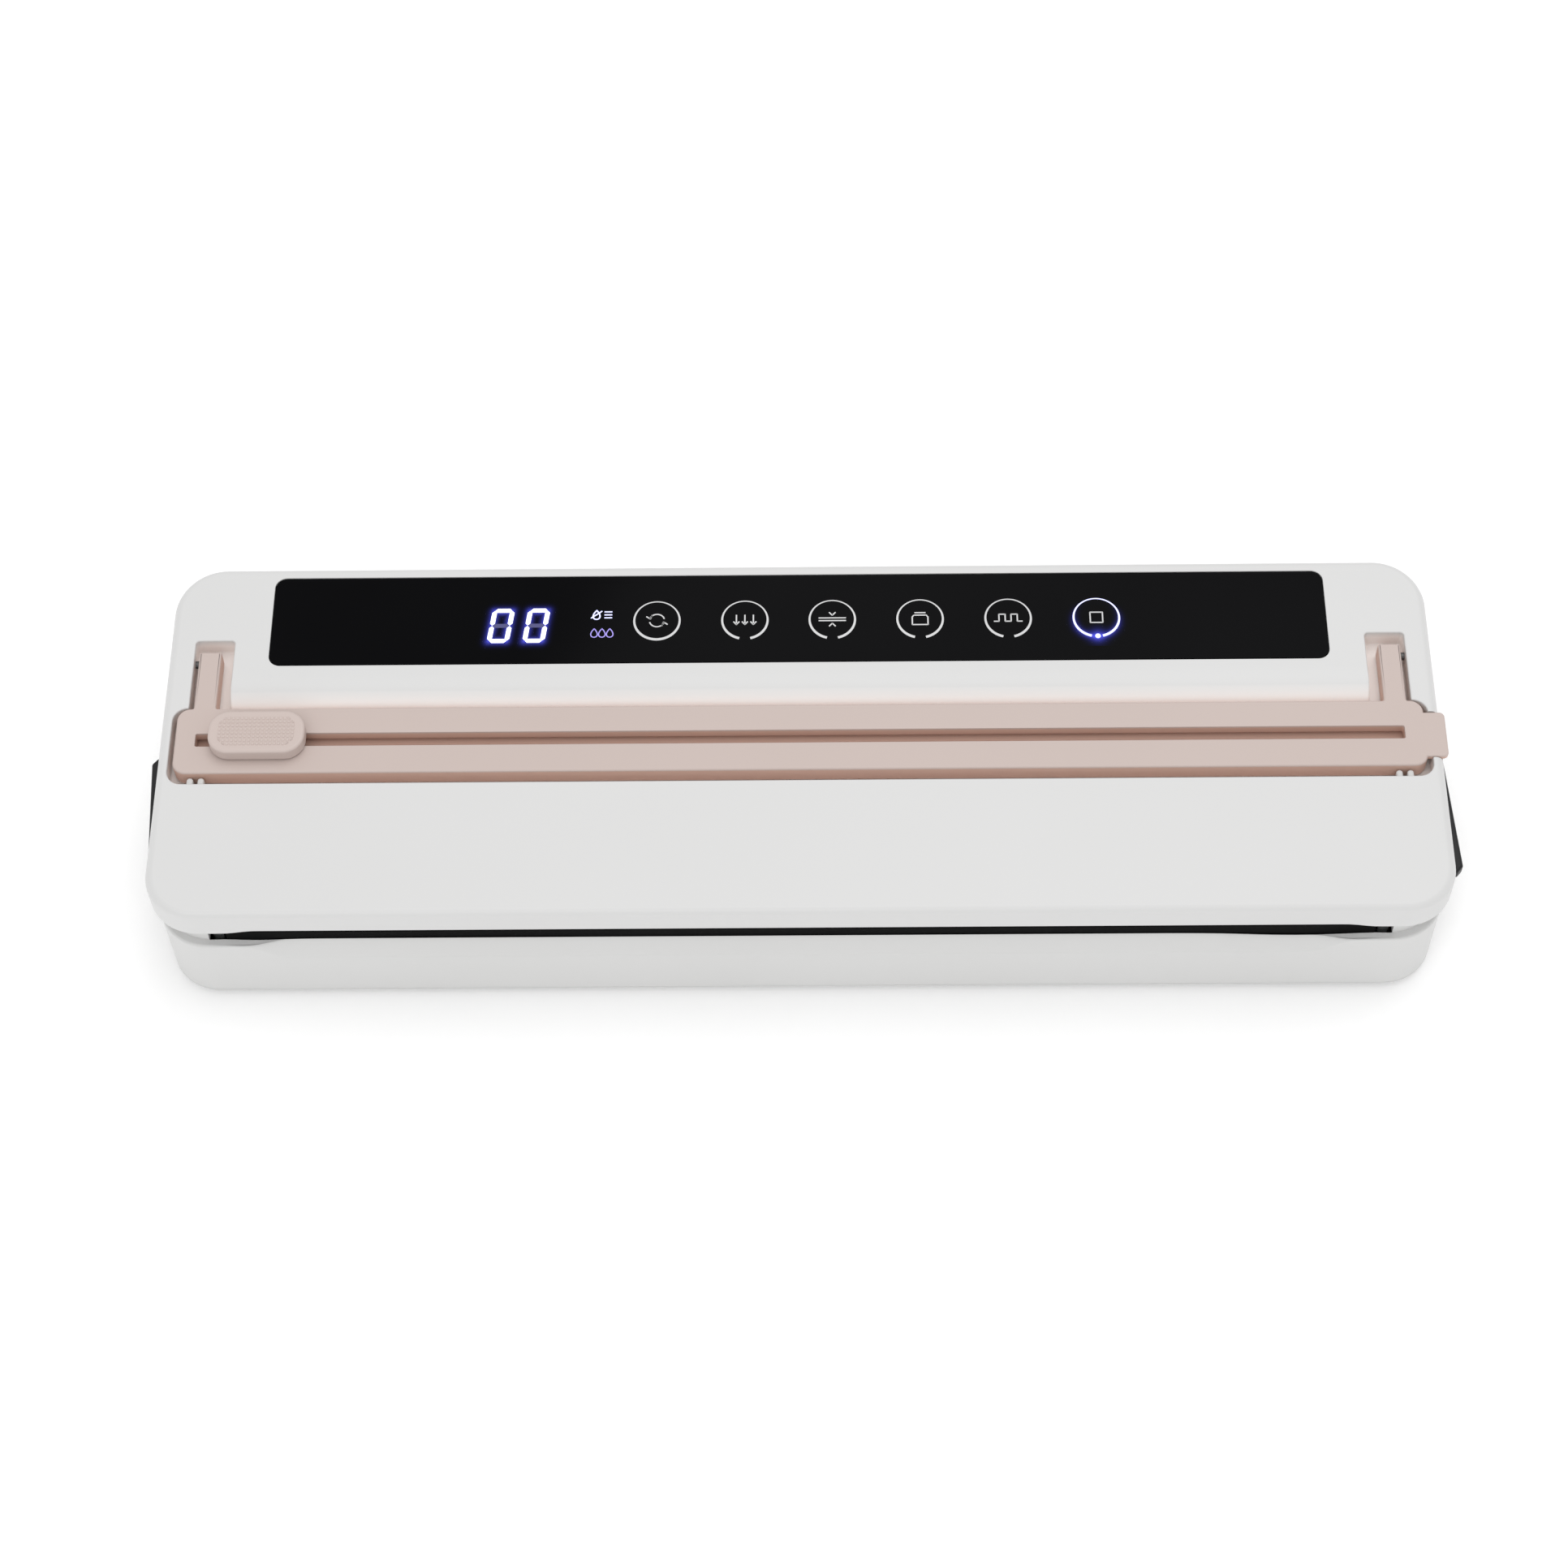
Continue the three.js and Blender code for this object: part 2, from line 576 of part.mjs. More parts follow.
function bottomCover() {
  const plate = slab(baseOutline(0), FOOT_HEIGHT, FOOT_HEIGHT + COVER_PLATE);
  const step = slab(baseOutline(WALL + GAP), FOOT_HEIGHT + ROOT, COVER_TOP);
  const [boardX, boardY] = BOARD_SIZE;
  const posts = [-1, 1].flatMap((sx) => [-1, 1].map((sy) => rod('z', COVER_TOP - ROOT, BOARD_Z - GAP,
    BOARD_X + sx * (boardX / 2 - COVER_POST_INSET),
    REAR - BOARD_SETBACK + sy * (boardY / 2 - COVER_POST_INSET), COVER_POST_R, 10)));
  const holes = SCREWS.flatMap(([, x, y]) => [
    rod('z', 0, COVER_TOP + PAST, x, y, SCREW_R + GAP, 12),
    rod('z', 0, FOOT_HEIGHT + SCREW_SINK, x, y, SCREW_HEAD_R + GAP),
  ]);
  const seats = FEET.map(([, x, y]) => rod('z', 0, FOOT_HEIGHT + FOOT_SEAT, x, y, FOOT_R + GAP, 24));
  return cut(join(plate, step, ...posts), ...holes, ...seats);
}

place('base_housing', baseHousing(), white());
place('bottom_cover', bottomCover(), white());

for (const [where, x, y] of FEET) {
  const top = FOOT_HEIGHT + FOOT_SEATED;
  const profile = [[0, 0], [FOOT_R - FOOT_EDGE, 0], [FOOT_R, FOOT_EDGE], [FOOT_R, top], [0, top]];
  const foot = new THREE.LatheGeometry(profile.map(([r, z]) => new THREE.Vector2(r, z)), 20);
  place(`foot_${where}`, join(foot.rotateX(Math.PI / 2).translate(x, y, 0)), rubber());
}

for (const [where, x, y] of SCREWS) {
  const head = FOOT_HEIGHT + SCREW_HEAD_Z;
  place(`cover_screw_${where}`, join(
    rod('z', FOOT_HEIGHT + COVER_SEAM, head, x, y, SCREW_HEAD_R, 14),
    rod('z', head - COVER_SEAM, FOOT_HEIGHT + SCREW_LENGTH, x, y, SCREW_R, 10),
  ), steel());
}

// heat bar, its strip, the non-stick tape over it and the spring clips at the ends
place('heating_bar', block(-HEAT_HALF, HEAT_HALF, HEAT_FRONT, HEAT_REAR, HEAT_FOOT, HEAT_TOP), black());
const STRIP_Y = (HEAT_FRONT + HEAT_REAR) / 2;
const STRIP_Z = HEAT_TOP + GAP / 3;
place('heating_strip', block(-HEAT_HALF + STRIP_INSET, HEAT_HALF - STRIP_INSET,
  STRIP_Y - STRIP_WIDTH / 2, STRIP_Y + STRIP_WIDTH / 2, STRIP_Z, STRIP_Z + STRIP_THICK), steel());
const TAPE_Z = STRIP_Z + STRIP_THICK + GAP / 3;
place('sealing_tape', block(-HEAT_HALF + TAPE_INSET, HEAT_HALF - TAPE_INSET,
  HEAT_FRONT + TAPE_MARGIN, HEAT_REAR - TAPE_MARGIN, TAPE_Z, TAPE_Z + TAPE_THICK), finish(0xb08a5a, 0.6));
const CLIP_X = HEAT_HALF + GAP;
const CLIP_PARTS = [
  [CLIP_X, HEAT_HALF + CLIP_LENGTH, CLIP_FOOT, CLIP_SHOULDER],
  [CLIP_X, CLIP_X + CLIP_SHEET, CLIP_SHOULDER - ROOT, CLIP_TOP],
  [HEAT_HALF - CLIP_TONGUE, CLIP_X + ROOT, CLIP_TOP - CLIP_SHEET, CLIP_TOP],
];
placePair('strip_clip', join(...CLIP_PARTS.map(([x0, x1, z0, z1], n) =>
  block(x0, x1, HEAT_FRONT + CLIP_EASE[n], HEAT_REAR - CLIP_EASE[n], z0, z1))), steel);

// vacuum chamber: moulded tray, with two hose nozzles at its back, and its foam ring
function flangeOutline(margin) {
  return outline(-TRAY_HALF + margin, TRAY_HALF - margin, TRAY_FRONT + margin, TRAY_REAR - margin,
    Math.max(FLANGE_R - margin, MIN_R));
}

function foamRing(z0, z1, clearance = 0) {
  const outer = slab(flangeOutline(FOAM_INSET - clearance), z0, z1);
  return cut(outer, slab(flangeOutline(FOAM_INSET + FOAM_WIDTH + clearance), z0 - PAST, z1 + PAST));
}

const FLANGE_TOP = DECK_TOP + GAP + TRAY_FLANGE;

function chamberTray() {
  const [, , troughRear] = TROUGH;
  const body = join(
    slab(flangeOutline(0), DECK_TOP + GAP, FLANGE_TOP),
    slab(troughOutline(0), TRAY_FLOOR, DECK_TOP + PAST),
    ...[PUMP_X, VALVE_X].map((x) => rod('y', troughRear - PAST, troughRear + PORT_LENGTH,
      x, PORT_Z, PORT_R, 12)),
  );
  const ports = [PUMP_X, VALVE_X].map((x) => rod('y', troughRear - TRAY_WALL - PAST,
    troughRear + PORT_LENGTH + PAST, x, PORT_Z, PORT_BORE, 10));
  return cut(body, slab(troughOutline(TRAY_WALL), TRAY_FLOOR + TRAY_WALL, FLANGE_TOP + PAST),
    foamRing(FLANGE_TOP - FOAM_SEAT, FLANGE_TOP + PAST, GAP), ...ports);
}

place('chamber_tray', chamberTray(), white());
place('lower_gasket', foamRing(FLANGE_TOP - FOAM_SEAT + GAP, FOAM_TOP), rubber());

// diaphragm pump: motor, crank on its shaft, and the pump head
const PORT_END = TROUGH[2] + PORT_LENGTH;
const [HEAD_X, HEAD_Y, HEAD_Z] = HEAD_SIZE;
const HEAD_X1 = PUMP_X + HEAD_X / 2;
const HEAD_NOZZLE = PUMP_Y - HEAD_Y / 2 - NOZZLE_LENGTH;
const CRANK_X0 = HEAD_X1 + CRANK_FROM_HEAD;
const CRANK_X1 = CRANK_X0 + CRANK_THICK;
const MOTOR_X0 = CRANK_X1 + CRANK_TO_MOTOR;
place('pump_motor', cut(join(
  rod('x', MOTOR_X0, MOTOR_X0 + MOTOR_LENGTH, PUMP_Y, PUMP_Z, MOTOR_R, 24),
  rod('x', MOTOR_X0 + MOTOR_LENGTH - ROOT, MOTOR_X0 + MOTOR_LENGTH + MOTOR_BOSS,
    PUMP_Y, PUMP_Z, MOTOR_BOSS_R, 12),
), rod('x', MOTOR_X0 - PAST, MOTOR_X0 + SHAFT_DEPTH + PAST, PUMP_Y, PUMP_Z, SHAFT_R + GAP, 12)), steel());
place('pump_crank', join(
  rod('x', CRANK_X0, CRANK_X1, PUMP_Y, PUMP_Z, CRANK_R, 20),
  rod('x', CRANK_X1 - ROOT, MOTOR_X0 + SHAFT_DEPTH, PUMP_Y, PUMP_Z, SHAFT_R, 12),
  rod('x', CRANK_X0 - CRANK_PIN, CRANK_X0 + ROOT, PUMP_Y + CRANK_THROW, PUMP_Z, SHAFT_R, 12),
), steel());
place('pump_head', cut(join(
  block(PUMP_X - HEAD_X / 2, HEAD_X1, PUMP_Y - HEAD_Y / 2, PUMP_Y + HEAD_Y / 2,
    PUMP_Z - HEAD_Z / 2, PUMP_Z + HEAD_Z / 2),
  rod('y', HEAD_NOZZLE, PUMP_Y - HEAD_Y / 2 + ROOT, PUMP_X, PUMP_Z, PORT_R, 12),
), rod('x', HEAD_X1 - HEAD_HOLLOW, HEAD_X1 + PAST, PUMP_Y, PUMP_Z, CRANK_THROW + SHAFT_R + CRANK_CLEAR, 20),
rod('y', HEAD_NOZZLE - PAST, PUMP_Y - HEAD_Y / 2 + PAST, PUMP_X, PUMP_Z, PORT_BORE, 10)), black());

// soft hoses from the chamber to the pump and to the vent valve
function hose(x, zEnd, yEnd) {
  const start = PORT_END + GAP;
  const end = yEnd - GAP;
  const third = (end - start) / 3;
  return tube(new THREE.CubicBezierCurve3(
    new THREE.Vector3(x, start, PORT_Z), new THREE.Vector3(x, start + third, PORT_Z),
    new THREE.Vector3(x, end - third, zEnd), new THREE.Vector3(x, end, zEnd),
  ), HOSE_R, 8, 12);
}

const [VALVE_W, VALVE_D, VALVE_H] = VALVE_SIZE;
const VALVE_FRONT = PUMP_Y - HEAD_Y / 2;
place('pump_hose', hose(PUMP_X, PUMP_Z, HEAD_NOZZLE), finish(0xd8d8d2, 0.5));
place('valve_hose', hose(VALVE_X, PUMP_Z, HEAD_NOZZLE), finish(0xd8d8d2, 0.5));
place('release_valve', join(
  block(VALVE_X - VALVE_W / 2, VALVE_X + VALVE_W / 2, VALVE_FRONT, VALVE_FRONT + VALVE_D,
    PUMP_Z - VALVE_H / 2, PUMP_Z + VALVE_H / 2),
  rod('y', HEAD_NOZZLE, VALVE_FRONT + ROOT, VALVE_X, PUMP_Z, PORT_R, 12),
), black());

// power supply board with its transformer, mains inlet and canister hose socket
const BOARD_Y = REAR - BOARD_SETBACK;
const [BOARD_W, BOARD_D, BOARD_T] = BOARD_SIZE;
place('power_board', block(BOARD_X - BOARD_W / 2, BOARD_X + BOARD_W / 2,
  BOARD_Y - BOARD_D / 2, BOARD_Y + BOARD_D / 2, BOARD_Z, BOARD_Z + BOARD_T), green());
const [CORE_W, CORE_D, CORE_H] = TRANSFORMER_SIZE;
const CORE_Z = BOARD_Z + BOARD_T + GAP;
place('transformer', join(
  block(BOARD_X - CORE_W / 2, BOARD_X + CORE_W / 2, BOARD_Y - CORE_D / 2, BOARD_Y + CORE_D / 2,
    CORE_Z, CORE_Z + CORE_H - WINDING_STEP),
  block(BOARD_X - CORE_W / 2 + WINDING_INSET, BOARD_X + CORE_W / 2 - WINDING_INSET,
    BOARD_Y - CORE_D / 2 - WINDING_PROUD, BOARD_Y + CORE_D / 2 + WINDING_PROUD,
    CORE_Z + WINDING_PROUD, CORE_Z + CORE_H),
), finish(0x5a4632, 0.6));

function powerInlet() {
  const [width, depth, height] = INLET_SIZE;
  const y0 = BASE_REAR - depth;
  const wallInner = BASE_REAR - WALL - GAP;
  const [wide, thick, high] = INLET_FLANGE;
  const socket = new THREE.Shape();
  socket.moveTo(-INLET_PIN_PITCH / 2, -INLET_SOCKET_R);
  socket.absarc(INLET_PIN_PITCH / 2, 0, INLET_SOCKET_R, -Math.PI / 2, Math.PI / 2);
  socket.absarc(-INLET_PIN_PITCH / 2, 0, INLET_SOCKET_R, Math.PI / 2, 1.5 * Math.PI);
  const hollow = slab(socket, 0, INLET_SOCKET_DEPTH + PAST).rotateX(Math.PI / 2);
  hollow.translate(INLET_X, BASE_REAR + PAST, INLET_Z);
  const holes = [-1, 1].map((side) => rod('y', y0 - PAST, BASE_REAR, INLET_X + side * INLET_PIN_PITCH / 2,
    INLET_Z, INLET_PIN_R + GAP, 12));
  return cut(join(
    block(INLET_X - width / 2, INLET_X + width / 2, y0, BASE_REAR,
      INLET_Z - height / 2, INLET_Z + height / 2),
    block(INLET_X - width / 2 - wide, INLET_X + width / 2 + wide, wallInner - thick, wallInner,
      INLET_Z - height / 2 - high, INLET_Z + height / 2 + high),
  ), hollow, ...holes);
}

place('power_inlet', powerInlet(), black());
for (const [where, side] of [['left', -1], ['right', 1]]) {
  place(`inlet_pin_${where}`, rod('y', BASE_REAR - INLET_SIZE[1] - INLET_PIN_TAIL, BASE_REAR - INLET_PIN_SUNK,
    INLET_X + side * INLET_PIN_PITCH / 2, INLET_Z, INLET_PIN_R, 12), steel());
}
place('canister_port', cut(join(
  rod('y', BASE_REAR - WALL - GAP - PORT2_RIM, BASE_REAR - WALL - GAP, PORT2_X, PUMP_Z, PORT2_R, 20),
  rod('y', BASE_REAR - WALL - PORT2_LENGTH, BASE_REAR, PORT2_X, PUMP_Z, PORT2_R - PORT2_RIM, 20),
), rod('y', BASE_REAR - WALL - PORT2_LENGTH - PAST, BASE_REAR + PAST,
  PORT2_X, PUMP_Z, PORT2_BORE, 12)), black());

// hinge pins
const PIN_HALF = KNUCKLE_WIDTH / 2 + EAR_WIDTH;
placePair('hinge_pin',
  rod('x', HINGE_X - PIN_HALF, HINGE_X + PIN_HALF, HINGE_Y, HINGE_Z, HINGE_PIN_R), steel);

// ---------- side releases ----------
// The left one is the right one turned half a turn about the upright axis through the latches.
function placeTurned(name, geometry, makeMaterial) {
  const plain = geometry.index ? geometry.toNonIndexed() : geometry;
  place(`${name}_right`, plain, makeMaterial());
  const turned = plain.clone().translate(0, -LATCH_Y, 0).rotateZ(Math.PI).translate(0, LATCH_Y, 0);
  place(`${name}_left`, turned, makeMaterial());
}

function releaseButton() {
  const x = BASE_HALF;
  const y0 = LATCH_Y - BUTTON_HALF;
  const y1 = LATCH_Y + BUTTON_HALF;
  const wedge = new THREE.Shape();
  const [easeLength, rise, chamfer] = BUTTON_EASE;
  wedge.moveTo(BUTTON_FLANGE_X - ROOT, y0);
  wedge.lineTo(x + BUTTON_PROUD - BUTTON_CHAMFER, y0);
  wedge.lineTo(x + BUTTON_PROUD, y0 + BUTTON_CREST);
  wedge.lineTo(x + BUTTON_LOW + rise, y1 - easeLength);
  wedge.lineTo(x + BUTTON_LOW + rise - chamfer, y1);
  wedge.lineTo(BUTTON_FLANGE_X - ROOT, y1);
  const flange = block(BUTTON_FLANGE_X - FLANGE_THICK, BUTTON_FLANGE_X, y0 - FLANGE_RIM, y1 + FLANGE_RIM,
    BUTTON_BOTTOM - FLANGE_RIM, BUTTON_TOP + FLANGE_RIM - GAP);
  return join(slab(wedge, BUTTON_BOTTOM, BUTTON_TOP), flange);
}

const WINDOW_X0 = HOOK_X0 - HOOK_TOOTH + HOOK_BITE; // catching edge of the latch plate
const WINDOW_X1 = HOOK_X1 + BUTTON_TRAVEL + GAP;
placeTurned('release_button', releaseButton(), black);
placeTurned('latch_plate', cut(
  block(PLATE_X0, PLATE_X1, LATCH_Y - PLATE_HALF, LATCH_Y + PLATE_HALF, PLATE_Z, PLATE_Z + PLATE_THICK),
  block(WINDOW_X0, WINDOW_X1, LATCH_Y - HOOK_HALF - WINDOW_CLEAR, LATCH_Y + HOOK_HALF + WINDOW_CLEAR,
    PLATE_Z - PAST, PLATE_Z + PLATE_THICK + PAST),
), steel);

class Coil extends THREE.Curve {
  getPoint(t, target = new THREE.Vector3()) {
    const angle = 2 * Math.PI * SPRING_TURNS * t;
    const x = SPRING_X0 + SPRING_WIRE + (SPRING_X1 - SPRING_X0 - 2 * SPRING_WIRE) * t;
    return target.set(x, SPRING_Y + SPRING_R * Math.cos(angle), SPRING_Z + SPRING_R * Math.sin(angle));
  }
}

placeTurned('latch_spring', tube(new Coil(), SPRING_WIRE, SPRING_TURNS * 10, 5), steel);

const [SWITCH_W, SWITCH_D, SWITCH_H] = SWITCH_SIZE;
const [PLUNGER_IN, PLUNGER_W, PLUNGER_RISE] = PLUNGER;
const SWITCH_Y = LATCH_Y + PLATE_HALF + SWITCH_CLEAR;
placeTurned('lid_switch', join(
  block(HOOK_X1 - SWITCH_W + SWITCH_PROUD, HOOK_X1 + SWITCH_PROUD,
    SWITCH_Y, SWITCH_Y + SWITCH_D, SWITCH_Z, SWITCH_Z + SWITCH_H),
  block(HOOK_X1 - PLUNGER_IN, HOOK_X1 - PLUNGER_IN + PLUNGER_W,
    SWITCH_Y + (SWITCH_D - PLUNGER_W) / 2, SWITCH_Y + (SWITCH_D + PLUNGER_W) / 2,
    SWITCH_Z + SWITCH_H - ROOT, SWITCH_Z + SWITCH_H + PLUNGER_RISE),
), black);

// ---------- lid ----------
const LINER_SCREWS = corners(SCREW_INSET_X, SCREW_INSET_Y - LINER_SCREW_BACK);

// plan of a bar across the lid with rounded corners and an arm reaching back at each end
function armedPlan(x, y0, y1, r, armInner, armOuter, armEnd) {
  const plan = new THREE.Shape();
  plan.moveTo(-x + r, y0);
  plan.lineTo(x - r, y0);
  plan.absarc(x - r, y0 + r, r, -Math.PI / 2, 0);
  plan.lineTo(x, y1 - r);
  plan.absarc(x - r, y1 - r, r, 0, Math.PI / 2);
  plan.lineTo(armOuter, y1);
  plan.lineTo(armOuter, armEnd);
  plan.lineTo(armInner, armEnd);
  plan.lineTo(armInner, y1);
  plan.lineTo(-armInner, y1);
  plan.lineTo(-armInner, armEnd);
  plan.lineTo(-armOuter, armEnd);
  plan.lineTo(-armOuter, y1);
  plan.lineTo(-x + r, y1);
  plan.absarc(-x + r, y1 - r, r, Math.PI / 2, Math.PI);
  plan.lineTo(-x, y0 + r);
  plan.absarc(-x + r, y0 + r, r, Math.PI, 1.5 * Math.PI);
  return plan;
}

// recess for the cutter with its two arm pockets, grown outwards by a margin
function recessSolid(margin, z0, z1) {
  const outer = LID_HALF - POCKET_OUTER;
  return slab(armedPlan(RECESS_HALF + margin, RECESS_Y0 - margin, RECESS_Y1 + margin, RECESS_R,
    outer - POCKET_WIDTH - margin, outer + margin, REAR - POCKET_REAR + margin), z0, z1);
}

function lidShell() {
  const outer = roundedSlab(lidOutline(0), LID_BOTTOM, LID_TOP, LID_EDGE_R);
  const recessShell = recessSolid(RECESS_WALL, RECESS_Z - RECESS_FLOOR, LID_TOP);
  const consoleInner = LID_HALF - POCKET_OUTER - POCKET_WIDTH;
  const consoleWall = block(-consoleInner, consoleInner, RECESS_Y1, RECESS_Y1 + CONSOLE_WALL,
    RECESS_Z - RECESS_FLOOR, LID_TOP);
  const inside = cut(slab(lidOutline(LID_WALL), LID_BOTTOM - PAST, LID_TOP - LID_CEILING),
    recessShell, consoleWall);
  let body = cut(outer, inside);

  const knuckle = new THREE.Shape();
  knuckle.moveTo(HINGE_Y - KNUCKLE_R, LID_TOP - LID_CEILING + ROOT);
  knuckle.lineTo(HINGE_Y - KNUCKLE_R, HINGE_Z);
  knuckle.absarc(HINGE_Y, HINGE_Z, KNUCKLE_R, Math.PI, 1.5 * Math.PI);
  knuckle.absarc(HINGE_Y, HINGE_Z, KNUCKLE_R, 1.5 * Math.PI, 2 * Math.PI);
  knuckle.lineTo(HINGE_Y + KNUCKLE_R, LID_BOTTOM - ROOT);
  knuckle.lineTo(HINGE_Y + KNUCKLE_R, LID_TOP - LID_CEILING + ROOT);
  const half = KNUCKLE_WIDTH / 2;
  const knuckles = [-1, 1].map((side) => bar(knuckle, side * HINGE_X - half, side * HINGE_X + half));
  const bosses = LINER_SCREWS.map(([, x, y]) =>
    rod('z', LINER_TOP + GAP, LID_TOP - LID_CEILING + ROOT, x, y, LINER_BOSS_R, 14));
  body = join(body, ...knuckles, ...bosses);

  const round = new THREE.Shape();
  const roundEnd = RECESS_Y1 + CONSOLE_ROUND;
  round.moveTo(RECESS_Y1 - ROOT, LID_TOP + PAST);
  round.lineTo(RECESS_Y1 - ROOT, RECESS_Z + ROOT);
  round.lineTo(RECESS_Y1, RECESS_Z);
  round.absellipse(roundEnd, RECESS_Z, CONSOLE_ROUND, RECESS_DEPTH, Math.PI, Math.PI / 2, true);
  round.lineTo(roundEnd, LID_TOP + PAST);
  const consoleHalf = consoleInner + GAP / 3;

  const pinHoles = [-1, 1].map((side) => rod('x', side * HINGE_X - half - PAST, side * HINGE_X + half + PAST,
    HINGE_Y, HINGE_Z, HINGE_PIN_R + GAP));
  const pilots = LINER_SCREWS.map(([, x, y]) =>
    rod('z', LINER_TOP - PAST, LINER_TOP + LINER_SCREW_LENGTH + ROOT, x, y, LINER_SCREW_R + GAP, 10));
  const panelPocket = slab(panelOutline(-GAP), LID_TOP - PANEL_THICK - GAP, LID_TOP + PAST);
  const panelWindow = slab(panelOutline(PANEL_LEDGE), LID_TOP - LID_CEILING - PAST, LID_TOP + PAST);
  const bladeGroove = block(-RECESS_HALF + SLOT_END, RECESS_HALF - SLOT_END,
    SLOT_Y - GROOVE_WIDTH / 2, SLOT_Y + GROOVE_WIDTH / 2, RECESS_Z - BLADE_GROOVE, RECESS_Z + PAST);
  const pivotX = LID_HALF - ARM_OUTER - PAST;
  const pivotEnd = LID_HALF - ARM_OUTER + PIVOT_LENGTH - PIVOT_SHORT;
  const pivots = [[pivotX, pivotEnd], [-pivotEnd, -pivotX]].map(([a, b]) =>
    rod('x', a, b, PIVOT_Y, PIVOT_Z, PIVOT_R + GAP, 12));
  const tabNotch = block(RECESS_HALF - PAST, LID_HALF + PAST,
    tabMiddle() - TAB_LENGTH / 2 - GAP, tabMiddle() + TAB_LENGTH / 2 + GAP,
    LID_TOP - TAB_THICK - GAP, LID_TOP + PAST);
  const relief = block(-RELIEF_HALF, RELIEF_HALF, FRONT - PAST, FRONT + LID_WALL + ROOT,
    LID_BOTTOM - PAST, LID_BOTTOM + MOUTH_RELIEF);
  body = cut(body, recessSolid(0, RECESS_Z, LID_TOP + PAST), bar(round, -consoleHalf, consoleHalf),
    ...pinHoles, ...pilots, panelPocket, panelWindow, bladeGroove, ...pivots, tabNotch, relief);

  const nubs = [-1, 1].flatMap((side) => [0, 1].map((n) => {
    const x = side * (LID_HALF - NUB_INSET - NUB_PITCH * n);
    return join(
      block(x - NUB_R, x + NUB_R, RECESS_Y0 - PAST, RECESS_Y0 + NUB_LENGTH - NUB_R,
        RECESS_Z - PAST, RECESS_Z + NUB_HEIGHT),
      rod('z', RECESS_Z - PAST, RECESS_Z + NUB_HEIGHT, x, RECESS_Y0 + NUB_LENGTH - NUB_R, NUB_R, 12),
    );
  }));
  return join(body, ...nubs);
}

function panelOutline(margin) {
  const y1 = REAR - PANEL_SETBACK;
  return outline(-PANEL_HALF + margin, PANEL_HALF - margin, y1 - PANEL_DEPTH + margin, y1 - margin,
    Math.max(PANEL_R - margin, PANEL_MIN_R));
}

function tabMiddle() {
  return FRAME_Y0 + FRAME_WIDTH / 2 + TAB_MIDDLE;
}

function lidLiner() {
  const plate = slab(outline(-LID_HALF + LID_WALL + GAP, LID_HALF - LID_WALL - GAP,
    FRONT + LID_WALL + GAP, REAR - LINER_REAR, CORNER_R - LID_WALL - GAP), LINER_BOTTOM, LINER_TOP);
  const holes = LINER_SCREWS.map(([, x, y]) =>
    rod('z', LINER_BOTTOM - PAST, LINER_TOP + PAST, x, y, LINER_SCREW_R + GAP, 10));
  const stripSeat = block(-SEAL_STRIP_HALF - GAP, SEAL_STRIP_HALF + GAP, HEAT_FRONT + SEAL_STRIP_BACK - GAP,
    HEAT_REAR + GAP, LINER_BOTTOM - PAST, LINER_BOTTOM + GROOVE_DEPTH);
  return cut(plate, ...holes, stripSeat, foamRing(LINER_BOTTOM - PAST, LINER_BOTTOM + GROOVE_DEPTH, GAP));
}

place('lid_shell', lidShell(), white());
place('lid_liner', lidLiner(), white());
place('upper_gasket', foamRing(FOAM_TOP + GAP, LINER_BOTTOM + GROOVE_DEPTH - GAP), rubber());
place('seal_strip', block(-SEAL_STRIP_HALF, SEAL_STRIP_HALF, HEAT_FRONT + SEAL_STRIP_BACK, HEAT_REAR,
  LINER_BOTTOM - SEAL_STRIP_THICK, LINER_BOTTOM + GROOVE_DEPTH - GAP), rubber());

place('control_panel', slab(panelOutline(0), LID_TOP - PANEL_THICK, LID_TOP), finish(0x0f0f11, 0.12));
const DISPLAY_Y = REAR - PANEL_SETBACK - PANEL_DEPTH / 2;
const DISPLAY_TOP = LID_TOP - PANEL_THICK - GAP - DIGITS_SIZE[2] - GAP;
const [DISPLAY_W, DISPLAY_D, DISPLAY_T] = DISPLAY_SIZE;
place('display_board', block(-DISPLAY_W / 2, DISPLAY_W / 2,
  DISPLAY_Y - DISPLAY_D / 2, DISPLAY_Y + DISPLAY_D / 2, DISPLAY_TOP - DISPLAY_T, DISPLAY_TOP), green());
place('digit_module', block(DIGITS_X - DIGITS_SIZE[0] / 2, DIGITS_X + DIGITS_SIZE[0] / 2,
  DISPLAY_Y - DIGITS_SIZE[1] / 2, DISPLAY_Y + DIGITS_SIZE[1] / 2,
  DISPLAY_TOP + GAP, DISPLAY_TOP + GAP + DIGITS_SIZE[2]), black());

const HOOK_FOOT = PLATE_Z + PLATE_THICK + GAP;
const HOOK_TOP = LINER_BOTTOM - GAP;
const TOOTH_THICK = HOOK_THICK / 3;
const [PAD_X, PAD_Y, PAD_THICK] = HOOK_PAD;
placePair('latch_hook', join(
  block(HOOK_X0, HOOK_X1, LATCH_Y - HOOK_HALF, LATCH_Y + HOOK_HALF, HOOK_FOOT, HOOK_TOP),
  block(HOOK_X0 - HOOK_TOOTH, HOOK_X0 + ROOT, LATCH_Y - HOOK_HALF, LATCH_Y + HOOK_HALF,
    HOOK_FOOT, HOOK_FOOT + TOOTH_THICK),
  block(HOOK_X0 - PAD_X, HOOK_X1 + PAD_X, LATCH_Y - HOOK_HALF - PAD_Y, LATCH_Y + HOOK_HALF + PAD_Y,
    HOOK_TOP - PAD_THICK, HOOK_TOP),
), steel);

